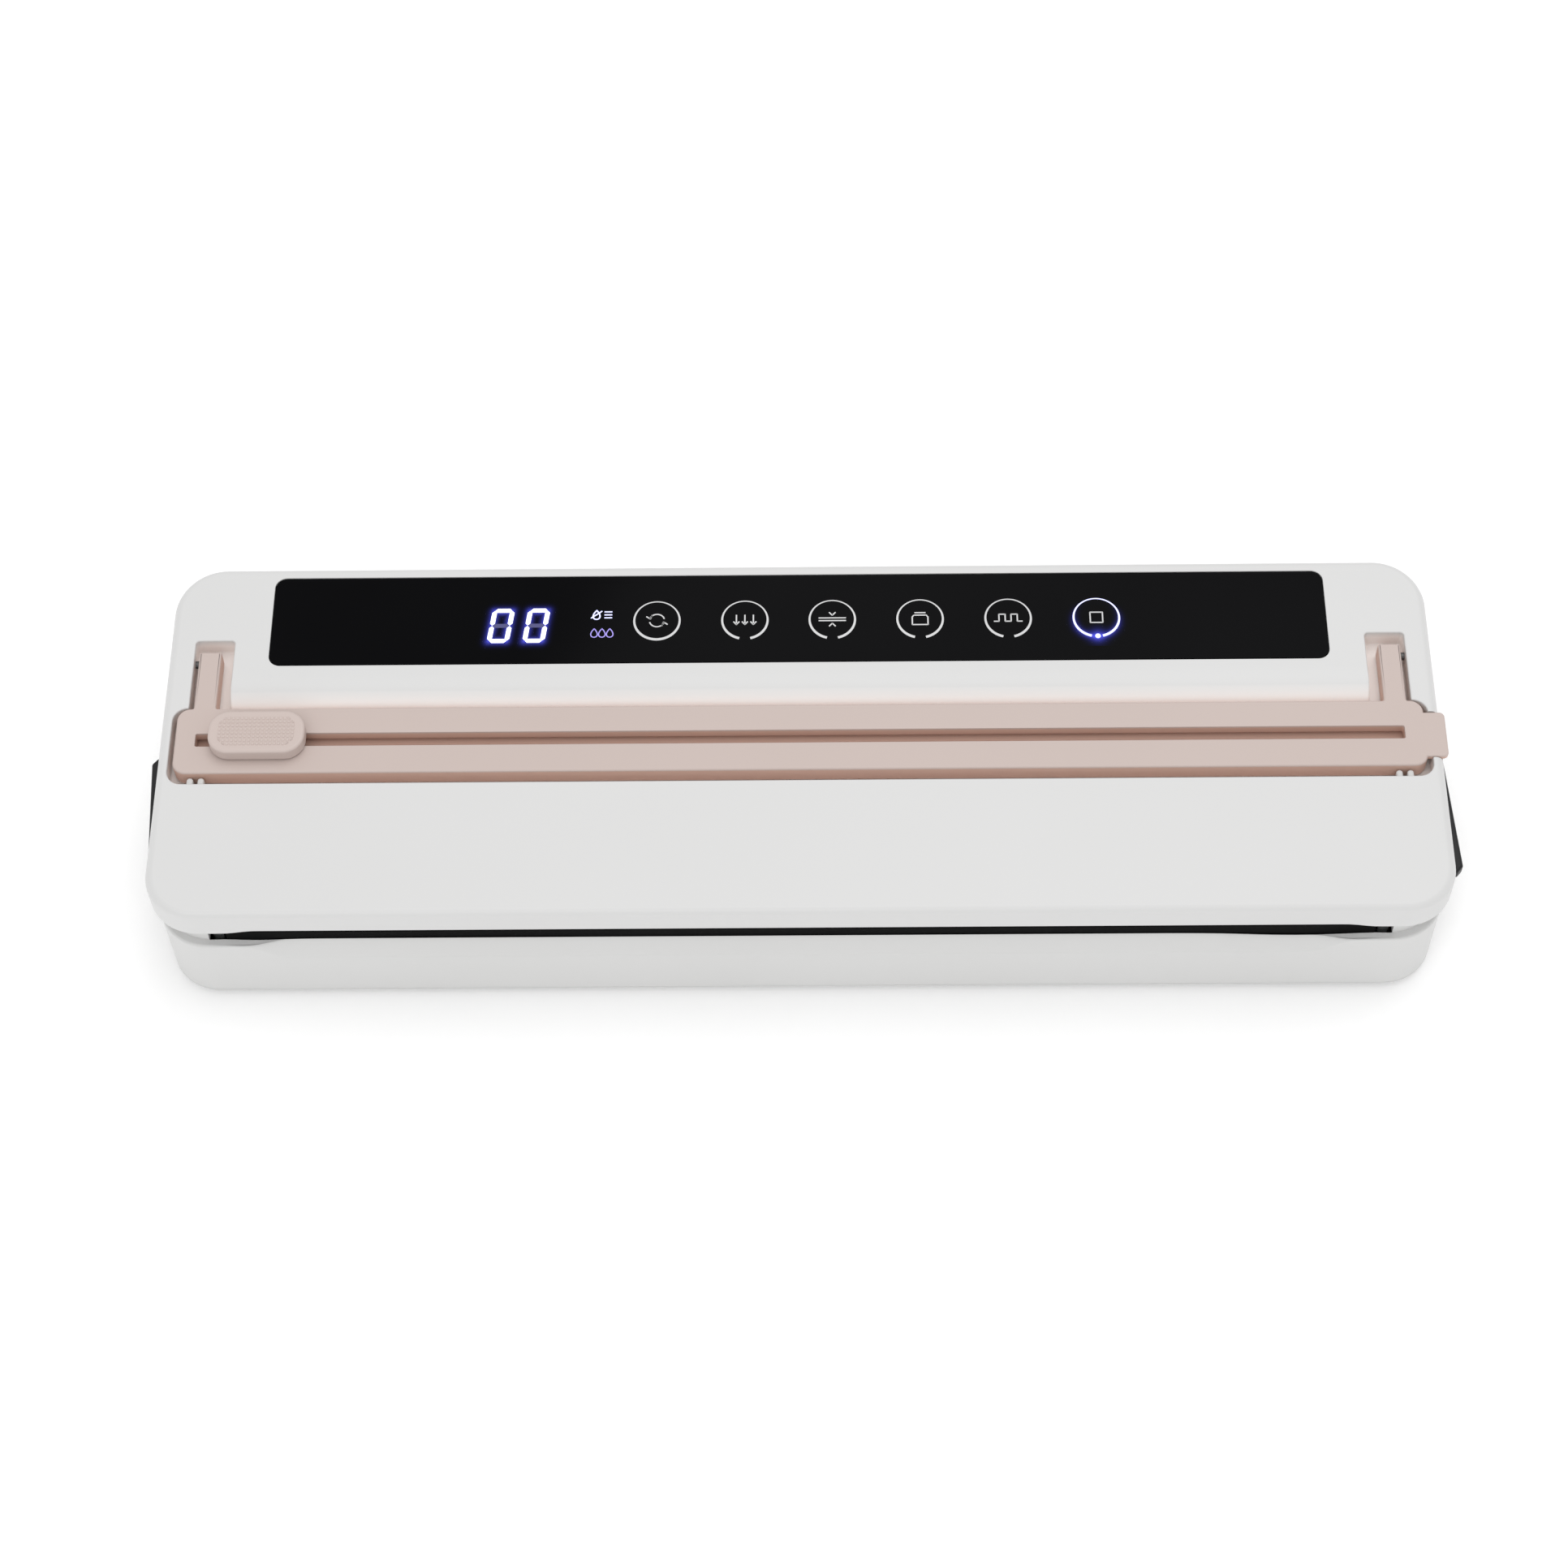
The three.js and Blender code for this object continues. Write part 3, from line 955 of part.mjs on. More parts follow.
for (const [where, x, y] of LINER_SCREWS) {
  const head = LINER_BOTTOM - GAP;
  place(`liner_screw_${where}`, join(
    rod('z', head - LINER_HEAD, head, x, y, LINER_HEAD_R, 14),
    rod('z', head - ROOT, LINER_TOP + LINER_SCREW_LENGTH, x, y, LINER_SCREW_R, 10),
  ), steel());
}

// ---------- cutter ----------
// wedge that takes the sharp edge off the rear ends of both arms, above or below
function armChamfer(z, up) {
  const armEnd = REAR - ARM_REAR;
  const wedge = new THREE.Shape();
  const drop = up ? -ARM_CHAMFER : ARM_CHAMFER;
  wedge.moveTo(armEnd - ARM_CHAMFER, z);
  wedge.lineTo(armEnd + PAST, z + drop * (1 + PAST / ARM_CHAMFER));
  wedge.lineTo(armEnd + PAST, z - drop);
  wedge.lineTo(armEnd - ARM_CHAMFER, z - drop);
  return bar(wedge, -LID_HALF, LID_HALF);
}

function cutterFrame() {
  const armX1 = LID_HALF - ARM_OUTER;
  const tab = block(FRAME_HALF - PAST, LID_HALF + TAB_PROUD,
    tabMiddle() - TAB_LENGTH / 2, tabMiddle() + TAB_LENGTH / 2, LID_TOP - TAB_THICK, LID_TOP - TAB_DROP);
  const channel = block(-FRAME_HALF + RAIL_END, FRAME_HALF - RAIL_END,
    FRAME_Y0 + FRAME_SKIRT, FRAME_Y1 - FRAME_SKIRT, FRAME_Z - PAST, FRAME_Z + RAIL_CHANNEL);
  const track = CARRIER_WIDTH / 2 + CARRIER_SIDE;
  const carrierChannel = block(-FRAME_HALF + SLOT_END, FRAME_HALF - SLOT_END,
    SLOT_Y - track, SLOT_Y + track, FRAME_Z, LID_TOP - FRAME_PLATE);
  const slot = block(-FRAME_HALF + SLOT_END, FRAME_HALF - SLOT_END,
    SLOT_Y - SLOT_WIDTH / 2, SLOT_Y + SLOT_WIDTH / 2, LID_TOP - FRAME_PLATE - PAST, LID_TOP + PAST);
  const pins = [[armX1 - PIVOT_HOLD, armX1 + PAST], [-armX1 - PAST, -armX1 + PIVOT_HOLD]].map(([a, b]) =>
    rod('x', a, b, PIVOT_Y, PIVOT_Z, PIVOT_R + GAP, 12));
  const plan = armedPlan(FRAME_HALF, FRAME_Y0, FRAME_Y1, FRAME_R,
    armX1 - ARM_WIDTH, armX1, REAR - ARM_REAR);
  return cut(join(slab(plan, FRAME_Z, LID_TOP), tab),
    channel, carrierChannel, slot, ...pins, armChamfer(LID_TOP, true), armChamfer(FRAME_Z, false));
}

const RAIL_Z = FRAME_Z + RAIL_LIFT;
const RAIL_TOP = RAIL_Z + RAIL_THICK;
place('cutter_frame', cutterFrame(), rose());
place('cutter_rail', cut(
  block(-FRAME_HALF + RAIL_END + GAP, FRAME_HALF - RAIL_END - GAP,
    FRAME_Y0 + FRAME_SKIRT + GAP, FRAME_Y1 - FRAME_SKIRT - GAP, RAIL_Z, RAIL_TOP),
  block(-FRAME_HALF + SLOT_END, FRAME_HALF - SLOT_END, SLOT_Y - RAIL_SLIT / 2, SLOT_Y + RAIL_SLIT / 2,
    RAIL_Z - PAST, RAIL_TOP + PAST),
), rose());
const PIVOT_X1 = LID_HALF - ARM_OUTER + PIVOT_LENGTH - PIVOT_SHORT - GAP;
placePair('pivot_pin',
  rod('x', PIVOT_X1 - PIVOT_LENGTH - PAST, PIVOT_X1, PIVOT_Y, PIVOT_Z, PIVOT_R, 12), steel);

const KNOB_Z = LID_TOP + GAP;
const CARRIER_Z = RAIL_TOP + GAP;
const NECK_HALF = SLOT_WIDTH / 2 - NECK_CLEAR;
const NECK_TOP = KNOB_Z + NECK_INTO_KNOB;
place('slider_knob', cut(
  roundedSlab(outline(KNOB_X - KNOB_LENGTH / 2, KNOB_X + KNOB_LENGTH / 2, SLOT_Y - KNOB_WIDTH / 2,
    SLOT_Y + KNOB_WIDTH / 2, KNOB_WIDTH / 2 - KNOB_END_FLAT), KNOB_Z, KNOB_Z + KNOB_HEIGHT, KNOB_EDGE_R, 10),
  block(KNOB_X - NECK_LENGTH / 2 - GAP, KNOB_X + NECK_LENGTH / 2 + GAP, SLOT_Y - NECK_HALF - GAP,
    SLOT_Y + NECK_HALF + GAP, KNOB_Z - PAST, NECK_TOP + GAP),
), rose());
place('slider_carrier', cut(join(
  block(KNOB_X - CARRIER_LENGTH / 2, KNOB_X + CARRIER_LENGTH / 2, SLOT_Y - CARRIER_WIDTH / 2,
    SLOT_Y + CARRIER_WIDTH / 2, CARRIER_Z, CARRIER_Z + CARRIER_THICK),
  block(KNOB_X - NECK_LENGTH / 2, KNOB_X + NECK_LENGTH / 2, SLOT_Y - NECK_HALF, SLOT_Y + NECK_HALF,
    CARRIER_Z + ROOT, NECK_TOP),
), block(KNOB_X - BLADE_LENGTH / 2 - GAP, KNOB_X + BLADE_LENGTH / 2 + GAP,
  SLOT_Y - BLADE_THICK / 2 - GAP, SLOT_Y + BLADE_THICK / 2 + GAP,
  CARRIER_Z - PAST, CARRIER_Z + BLADE_HOLD + GAP)), black());

const bladeShape = new THREE.Shape();
const BLADE_TIP = RECESS_Z - BLADE_INTO_GROOVE;
const BLADE_TOP = CARRIER_Z + BLADE_HOLD;
bladeShape.moveTo(KNOB_X - BLADE_LENGTH / 2, BLADE_TOP);
bladeShape.lineTo(KNOB_X - BLADE_LENGTH / 2, CARRIER_Z);
bladeShape.lineTo(KNOB_X - BLADE_POINT, BLADE_TIP);
bladeShape.lineTo(KNOB_X + BLADE_POINT, BLADE_TIP);
bladeShape.lineTo(KNOB_X + BLADE_LENGTH / 2, CARRIER_Z);
bladeShape.lineTo(KNOB_X + BLADE_LENGTH / 2, BLADE_TOP);
const blade = slab(bladeShape, -BLADE_THICK / 2, BLADE_THICK / 2).rotateX(Math.PI / 2);
place('cutter_blade', blade.translate(0, SLOT_Y, 0), steel());

export default group;
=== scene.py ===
import math
import bmesh
import bpy
import numpy as np
from mathutils import Matrix, Vector
from mathutils.geometry import tessellate_polygon


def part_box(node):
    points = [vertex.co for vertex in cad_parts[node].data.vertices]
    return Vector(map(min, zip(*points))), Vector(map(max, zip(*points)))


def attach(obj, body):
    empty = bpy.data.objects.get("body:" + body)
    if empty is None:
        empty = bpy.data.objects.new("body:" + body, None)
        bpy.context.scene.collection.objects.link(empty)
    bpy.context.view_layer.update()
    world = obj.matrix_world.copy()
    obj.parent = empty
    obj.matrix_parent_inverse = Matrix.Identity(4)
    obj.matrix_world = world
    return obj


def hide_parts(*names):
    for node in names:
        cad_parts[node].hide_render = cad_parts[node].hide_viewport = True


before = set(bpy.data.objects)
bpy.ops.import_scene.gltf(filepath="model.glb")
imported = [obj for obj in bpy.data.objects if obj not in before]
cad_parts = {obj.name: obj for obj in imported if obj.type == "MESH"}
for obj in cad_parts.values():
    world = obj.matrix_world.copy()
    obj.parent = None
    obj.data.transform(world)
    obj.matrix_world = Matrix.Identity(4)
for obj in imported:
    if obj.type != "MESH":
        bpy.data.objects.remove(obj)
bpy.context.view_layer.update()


# ---------- Base housing ----------
# The lower white shell: one satin ABS moulding with an outer wall, an upright lip inside it, a
# deck, and a low sloped rim where the bag goes in. It is screwed to the bottom cover.

def rounded_outline(corners, radii, steps=8):
    """Closed outline with rounded corners. At each corner the arc leaves one side at radius times
    tan(half the turn) before the corner and meets the next side as far past it.
    Returns the points and the outward unit normals."""
    c = np.asarray(corners, float)
    r = np.broadcast_to(np.asarray(radii, float), len(c))
    a = c - np.roll(c, 1, 0)
    a /= np.linalg.norm(a, axis=1)[:, None]
    b = np.roll(a, -1, 0)
    turn = np.arctan2(a[:, 0] * b[:, 1] - a[:, 1] * b[:, 0], (a * b).sum(1))
    start = c - a * (r * np.tan(np.abs(turn) / 2))[:, None]
    left = np.stack([-a[:, 1], a[:, 0]], 1) * np.sign(turn)[:, None]
    centre = start + left * r[:, None]
    t = np.linspace(0, 1, steps + 1)[None, :] * turn[:, None]
    v = -left * r[:, None]
    n = np.stack([a[:, 1], -a[:, 0]], 1)

    def turned(w):
        return np.stack([w[:, :1] * np.cos(t) - w[:, 1:] * np.sin(t),
                         w[:, :1] * np.sin(t) + w[:, 1:] * np.cos(t)], -1)

    return (centre[:, None, :] + turned(v)).reshape(-1, 2), turned(n).reshape(-1, 2)


def rounded_box(x0, x1, y0, y1, r, steps=8):
    """Rectangle with quarter-circle corners, from the front left corner round to the right."""
    return rounded_outline([(x0, y0), (x1, y0), (x1, y1), (x0, y1)], r, steps)


def with_front_points(points, normals, x0, x1, count):
    """The outline with a straight run of evenly spaced points put in along its front side,
    between its first corner and its second."""
    k = len(points) // 4
    run = np.stack([np.linspace(x0, x1, count), np.full(count, points[:, 1].min())], 1)
    facing = np.tile([0.0, -1.0], (count, 1))
    return np.concatenate([points[:k], run, points[k:]]), np.concatenate([normals[:k], facing, normals[k:]])


def ring(points, normals, out, z):
    """The outline moved outwards by out and lifted to z; both may differ from point to point."""
    out = np.broadcast_to(out, len(points))[:, None]
    z = np.broadcast_to(z, len(points))[:, None]
    return np.concatenate([points + normals * out, z], 1)


def skin(rings, closed=False):
    """Surface through a list of rings: point j of ring i joins point j + 1 of ring i + 1. Counter-
    clockwise rings going up, or inwards over the top, face out of the solid."""
    grid = np.stack(rings)
    levels, count = grid.shape[:2]
    index = np.arange(levels * count).reshape(levels, count)
    if closed:
        index = np.concatenate([index, index[:1]])
    low, high = index[:-1], index[1:]
    faces = np.stack([low, np.roll(low, -1, 1), np.roll(high, -1, 1), high], -1).reshape(-1, 4)
    return grid.reshape(-1, 3), faces.tolist()


def cap(outer, holes=(), up=True):
    """Flat or nearly flat face filling an outline less its holes, seen from above or below."""
    loops = [outer, *holes]
    points = np.concatenate(loops)
    flat = [[Vector((p[0], p[1], 0)) for p in loop.tolist()] for loop in loops]
    faces = np.array(tessellate_polygon(flat))
    a, b, c = points[faces[:, 0], :2], points[faces[:, 1], :2], points[faces[:, 2], :2]
    area = (b[:, 0] - a[:, 0]) * (c[:, 1] - a[:, 1]) - (b[:, 1] - a[:, 1]) * (c[:, 0] - a[:, 0])
    turned = (area < 0) == up
    faces[turned] = faces[turned][:, ::-1]
    return points, faces[np.abs(area) > 1e-9].tolist()


def stack(outline, *levels):
    """Rings of one outline: how far out and how high each of them stands."""
    return [ring(*outline, out, z) for out, z in levels]


def shut(rings):
    """Surface through the rings, closed below and above by flat faces."""
    return [skin(rings), cap(rings[0], up=False), cap(rings[-1])]


def quarter_turn(count):
    """Evenly spaced angles from level to upright, in radians."""
    return np.radians(np.linspace(0, 90, count))


def mesh_object(name, parts):
    """One object from surfaces given in millimetres. Points under a thousandth of a millimetre
    apart are joined, so seams and caps close."""
    points = np.concatenate([p for p, _ in parts]) * 0.001
    starts = np.cumsum([0] + [len(p) for p, _ in parts])
    faces = [[v + start for v in face] for (_, part), start in zip(parts, starts) for face in part]
    name = name.replace(" ", "_")
    mesh = bpy.data.meshes.new(name)
    mesh.from_pydata(points.tolist(), [], faces)
    work = bmesh.new()
    work.from_mesh(mesh)
    bmesh.ops.remove_doubles(work, verts=work.verts, dist=1e-6)
    bmesh.ops.dissolve_degenerate(work, edges=work.edges, dist=1e-7)
    work.to_mesh(mesh)
    work.free()
    obj = bpy.data.objects.new(name, mesh)
    bpy.context.scene.collection.objects.link(obj)
    return obj


def block(x0, x1, y0, y1, z0, z1, r=0.4):
    """Upright rounded block as surfaces: four rings and two caps, edges eased by a third of r."""
    e = r / 3
    return shut(stack(rounded_box(x0, x1, y0, y1, r, 5), (-e, z0), (0, z0 + e), (0, z1 - e), (-e, z1)))


def carve(obj, *tools):
    """Takes the tools' solids out of the object and keeps the result as its own mesh."""
    for tool in tools:
        modifier = obj.modifiers.new("cut", "BOOLEAN")
        modifier.operation = "DIFFERENCE"
        modifier.solver = "EXACT"
        modifier.object = tool
    result = bpy.data.meshes.new_from_object(obj.evaluated_get(bpy.context.evaluated_depsgraph_get()))
    obj.modifiers.clear()
    obj.data = result
    for tool in tools:
        bpy.data.objects.remove(tool)


def finish_piece(obj, material, body, slot, *nodes, angle=35):
    """Smooth faces with creases over the angle, its material, its body, and hides the CAD nodes it stands
    for; the slot is not used.
    """
    obj.data.materials.clear()
    obj.data.materials.append(material)
    obj.data.shade_smooth()
    obj.data.set_sharp_from_angle(angle=math.radians(angle))
    even = obj.modifiers.new("even faces", "WEIGHTED_NORMAL")
    even.keep_sharp = True
    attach(obj, body)
    if nodes:
        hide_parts(*nodes)
    return obj


def new_group(name, inputs, outputs):
    """Empty shader group with number inputs after one vector input, and the given outputs."""
    group = bpy.data.node_groups.new(name, "ShaderNodeTree")
    group.interface.new_socket("Vector", in_out="INPUT", socket_type="NodeSocketVector")
    for label, value in inputs.items():
        socket = group.interface.new_socket(label, in_out="INPUT", socket_type="NodeSocketFloat")
        socket.default_value = value
    for label in outputs:
        group.interface.new_socket(label, in_out="OUTPUT", socket_type="NodeSocketFloat")
    return group, group.nodes.new("NodeGroupInput"), group.nodes.new("NodeGroupOutput")


def noise(tree, vector, scale, detail=3.0):
    """Noise texture of a scale and detail in a node tree, fed with the vector."""
    node = tree.nodes.new("ShaderNodeTexNoise")
    node.inputs["Detail"].default_value = detail
    tree.links.new(vector, node.inputs["Vector"])
    if isinstance(scale, (int, float)):
        node.inputs["Scale"].default_value = scale
    else:
        tree.links.new(scale, node.inputs["Scale"])
    return node.outputs["Fac"]


def math_node(tree, operation, a, b=None):
    """Math node; each input is a number or another node's output."""
    node = tree.nodes.new("ShaderNodeMath")
    node.operation = operation
    for socket, value in zip(node.inputs, (a, b)):
        if isinstance(value, (int, float)):
            socket.default_value = value
        elif value is not None:
            tree.links.new(value, socket)
    return node.outputs[0]


def moulded_grain_group():
    """Fine moulded grain: two layers of noise for the height, and a slow drift of tone."""
    group, given, result = new_group("Moulded grain", {"Scale": 1500.0}, ["Height", "Tone"])
    fine = noise(group, given.outputs["Vector"], given.outputs["Scale"], 2.0)
    broad = noise(group, given.outputs["Vector"], 160.0, 2.0)
    drift = noise(group, given.outputs["Vector"], 14.0, 3.0)
    height = math_node(group, "ADD", math_node(group, "MULTIPLY", fine, 0.7),
                       math_node(group, "MULTIPLY", broad, 0.3))
    group.links.new(height, result.inputs["Height"])
    group.links.new(drift, result.inputs["Tone"])
    return group


moulded_grain = moulded_grain_group()


def shader(name):
    """New material: its tree, its principled shader and its object coordinates."""
    material = bpy.data.materials.new(name)
    material.use_nodes = True
    tree = material.node_tree
    coordinates = tree.nodes.new("ShaderNodeTexCoord")
    return material, tree, tree.nodes["Principled BSDF"], coordinates.outputs["Object"]


def use_group(tree, group, vector, **values):
    """The group in a tree, fed with the vector and with number inputs by name."""
    node = tree.nodes.new("ShaderNodeGroup")
    node.node_tree = group
    tree.links.new(vector, node.inputs["Vector"])
    for label, value in values.items():
        node.inputs[label.replace("_", " ")].default_value = value
    return node


def ramp(tree, value, first, second, low=0.3, high=0.7):
    """Colour that runs from the first to the second as the value goes from low to high."""
    node = tree.nodes.new("ShaderNodeValToRGB")
    node.color_ramp.elements[0].position = low
    node.color_ramp.elements[0].color = (*first, 1)
    node.color_ramp.elements[1].position = high
    node.color_ramp.elements[1].color = (*second, 1)
    tree.links.new(value, node.inputs["Fac"])
    return node.outputs["Color"]


def bump(tree, principled, height, strength, distance):
    """Bump from a height in metres of travel, into the shader's normal."""
    node = tree.nodes.new("ShaderNodeBump")
    node.inputs["Strength"].default_value = strength
    node.inputs["Distance"].default_value = distance
    tree.links.new(height, node.inputs["Height"])
    tree.links.new(node.outputs["Normal"], principled.inputs["Normal"])


def spread(tree, value, middle, reach):
    """Number that wanders by reach to each side of the middle as the value goes from 0 to 1."""
    return math_node(tree, "ADD", math_node(tree, "MULTIPLY", value, 2 * reach), middle - reach)


def moulded(name, colour, second, roughness, strength=0.12, scale=1500.0, specular=0.5):
    """Moulded plastic or rubber: tone drifts between two near colours, roughness drifts with it,
    and the grain gives the surface its fine texture."""
    material, tree, principled, place = shader(name)
    grain = use_group(tree, moulded_grain, place, Scale=scale)
    tree.links.new(ramp(tree, grain.outputs["Tone"], colour, second), principled.inputs["Base Color"])
    tree.links.new(spread(tree, grain.outputs["Tone"], roughness, 0.04), principled.inputs["Roughness"])
    bump(tree, principled, grain.outputs["Height"], strength, 0.00006)
    principled.inputs["Specular IOR Level"].default_value = specular
    return material


white_plastic = moulded("white satin plastic", (0.638, 0.637, 0.630), (0.648, 0.647, 0.641), 0.42)
base_half, base_front, base_rear = 190.8, -61.75, 61.25
base_points, base_normals = with_front_points(
    *rounded_box(-base_half, base_half, base_front, base_rear, 15.5, 14), -175, 175, 141)
at_front = base_normals[:, 1] < -0.99


def eased(value):
    """Smooth step from 0 to 1 with level ends."""
    t = np.clip(value, 0, 1)
    return t * t * (3 - 2 * t)


rim = np.where(at_front, eased((164 - np.abs(base_points[:, 0])) / 13), 0)
sag = np.where(at_front, 1.5 * np.exp(-((base_points[:, 0] - 147) / 19) ** 2)
               + 0.7 * np.exp(-((base_points[:, 0] + 160) / 9) ** 2), 0)
gap_open = np.where(at_front, eased((175 - np.abs(base_points[:, 0])) / 5), 0)
base_rings = [ring(base_points, base_normals, -out, z) for out, z in (
    (2.9, 28.2), (2.4, 27.7), (2.4, 3.35), (2.15, 3.06), (0.25, 3.06), (0.05, 3.09), (0, 3.2))]
slope = [(0, 22.2), (0.14, 22.8), (0.42, 24.0), (0.78, 25.4), (1.16, 26.8), (1.56, 28.2), (1.94, 29.2),
         (2.24, 29.8), (2.4, 30.0)]
for angle, (slope_out, slope_z) in zip(quarter_turn(9), slope):
    edge_z = 29.6 - 0.9 * (1 - math.sin(angle))
    edge_out = -0.9 * (1 - math.cos(angle)) * (1 - rim) - slope_out * rim
    base_rings.append(ring(base_points, base_normals, edge_out,
                           edge_z + (slope_z - edge_z) * rim - sag * (angle / 1.571) ** 2))
for out, fall in ((2.6, 4.5), (2.62, 0.5), (2.72, 0.15), (3.05, 0), (4.25, 0), (4.52, 0.15), (4.6, 0.5)):
    lip = 34.1 - fall
    base_rings.append(ring(base_points, base_normals, -out, lip + (30 - lip) * gap_open - sag))
base_rings.append(ring(base_points, base_normals, -4.6, 31))
housing = mesh_object("housing", shut(base_rings))


def along_x(profile, normals, out, x):
    """Ring of a profile in y and z, moved outwards by out, at one x."""
    moved = profile + normals * out
    return np.concatenate([np.full((len(moved), 1), x), moved], 1)


def bar_along_x(profile, normals, x0, x1, ease=0.3):
    """Bar whose profile in y and z is carried along x, with its end edges eased."""
    rings = [along_x(profile, normals, out, x) for out, x in (
        (-ease, x0), (-ease * 0.3, x0 + ease * 0.3), (0, x0 + ease),
        (0, x1 - ease), (-ease * 0.3, x1 - ease * 0.3), (-ease, x1))]
    count = len(profile)
    ends = [(rings[0], [list(range(count))[::-1]]), (rings[-1], [list(range(count))])]
    return [skin(rings), *ends]


latch_y, hinge_x = -15.6, 135
tray_hole = rounded_box(-156.5, 156.5, -39.5, -16.5, 5.4)
housing_cuts = [mesh_object("tool", shut(stack(tray_hole, (0, 27), (0, 32))))]
housing_cuts.append(mesh_object("tool", block(-175, 175, -59.4, -50.8, 27, 36, 0.5)))
for side in (-1, 1):
    wall = sorted((side * 187, side * 192))
    hook = sorted((side * 173.3, side * 181.8))
    ear = side * hinge_x
    housing_cuts.append(mesh_object("tool", block(*wall, latch_y - 21.9, latch_y + 21.9, 22.5, 27.3, 0.9)))
    housing_cuts.append(mesh_object("tool", block(*hook, latch_y - 7.5, latch_y + 7.5, 27, 32, 1.2)))
    housing_cuts.append(mesh_object("tool", block(ear - 12.3, ear + 12.3, 52.9, 63, 29.3, 37, 0.5)))
housing_cuts.append(mesh_object("tool", block(-121.3, -98.7, 57, 63, 10.2, 24.2, 0.9)))
circle = np.radians(np.arange(0, 360, 7.5))
round_points = np.stack([np.cos(circle), np.sin(circle)], 1)
port_place = (95, 16.6)
port_profile = round_points[::-1] * 4.8 + port_place


def along_y(profile, y):
    """Ring of a profile in x and z at one y."""
    return np.stack([profile[:, 0], np.full(len(profile), y), profile[:, 1]], 1)


port_ends = [along_y(port_profile, 57), along_y(port_profile, 63)]
housing_cuts.append(mesh_object("tool", [skin(port_ends), (port_ends[0], [list(range(48))[::-1]]),
                                         (port_ends[1], [list(range(48))])]))
carve(housing, *housing_cuts)
ears = []
ear_profile = rounded_outline([(52.9, 28.7), (58.6, 28.7), (58.6, 36.1), (52.9, 36.1)],
                              [0.3, 0.3, 2.6, 2.6], 8)
for side in (-1, 1):
    for end in (-1, 1):
        near = side * hinge_x + end * 12.3
        ears += bar_along_x(*ear_profile, *sorted((near, near + end * 6)), 0.35)
ear_piece = mesh_object("hinge ears", ears)
finish_piece(ear_piece, white_plastic, "base", "white_shell")
finish_piece(housing, white_plastic, "base", "white_shell", "base_housing")


# ---------- Bottom cover ----------
# A shallow white tray of the same plastic that closes the base from below, with seats for the
# four feet and countersinks for its four screws. A fine seam shows where it meets the housing.

cover_points, cover_normals = rounded_box(-base_half, base_half, base_front, base_rear, 15.5, 14)
cover_rings = [ring(cover_points, cover_normals, -out, z) for out, z in (
    (0.7, 2.0), (0.3, 2.1), (0.07, 2.3), (0.0, 2.5), (0.0, 2.85), (0.05, 2.96), (0.25, 3.0),
    (2.75, 3.0), (2.75, 4.3), (3.0, 4.55))]
cover = mesh_object("cover", shut(cover_rings))
corner_signs = [(sx, sy) for sy in (-1, 1) for sx in (-1, 1)]
cover_cuts = []
for sx, sy in corner_signs:
    for x, y, r, depth in ((150.5 * sx, 46.75 * sy, 7.3, 2.9), (172 * sx, 44.25 * sy, 3.3, 3.4)):
        ends = [ring(round_points * r + (x, y), round_points, 0, z) for z in (1, depth)]
        cover_cuts.append(mesh_object("tool", shut(ends)))
carve(cover, *cover_cuts)
finish_piece(cover, white_plastic, "base", "white_shell", "bottom_cover")


# ---------- Feet ----------
# Four soft black rubber discs pressed into seats in the bottom cover. Two fine grooves run round
# the underside of each and its edge is eased.

foot_rubber = moulded("foot rubber", (0.012, 0.012, 0.013), (0.02, 0.02, 0.021), 0.72, 0.5, 2600.0)
foot_profile = np.array([(0.4, 0.12), (2.6, 0.12), (2.8, 0.4), (3.1, 0.4), (3.3, 0.0), (4.9, 0.0), (5.1, 0.3),
                         (5.4, 0.3), (5.6, 0.0), (6.3, 0.0), (6.75, 0.15), (6.95, 0.5), (7.0, 1.0),
                         (7.0, 2.5),
                         (6.9, 2.6)])
for (sx, sy), where in zip(corner_signs, ("front_left", "front_right", "rear_left", "rear_right")):
    spot = (150.5 * sx, 46.75 * sy)
    foot_rings = [ring(round_points * r + spot, round_points, 0, z) for r, z in foot_profile]
    foot = mesh_object(f"foot_{where}", shut(foot_rings))
    finish_piece(foot, foot_rubber, "base", "foot_rubber", f"foot_{where}", angle=50)


# ---------- Heat bar ----------
# A black phenolic bar in a slot behind the front rim, with the nichrome strip on top of it and a
# woven PTFE tape over the strip. Two bright steel clips pull the strip tight from its ends.

def span(node):
    """Lowest and highest corner of a CAD node, in millimetres: x0, x1, y0, y1, z0, z1."""
    low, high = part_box(node)
    return [v * 1000 for pair in zip(low, high) for v in pair]


def lying_bar(node, r, ease=0.3):
    """Bar along x that fills a CAD node's box, with its long edges rounded by r."""
    x0, x1, y0, y1, z0, z1 = span(node)
    profile = rounded_box(y0, y1, z0, z1, r, 6)
    return bar_along_x(*profile, x0, x1, ease)


black_plastic = moulded("black plastic", (0.006, 0.006, 0.007), (0.01, 0.01, 0.011), 0.42, 0.25, 1800.0,
                       specular=0.3)
matt_black = moulded("black phenolic", (0.003, 0.003, 0.003), (0.005, 0.005, 0.005), 0.7, 0.3, 1200.0,
                     specular=0.05)
finish_piece(mesh_object("heat bar", lying_bar("heating_bar", 0.9, 0.6)), matt_black, "base",
             "black_plastic", "heating_bar")


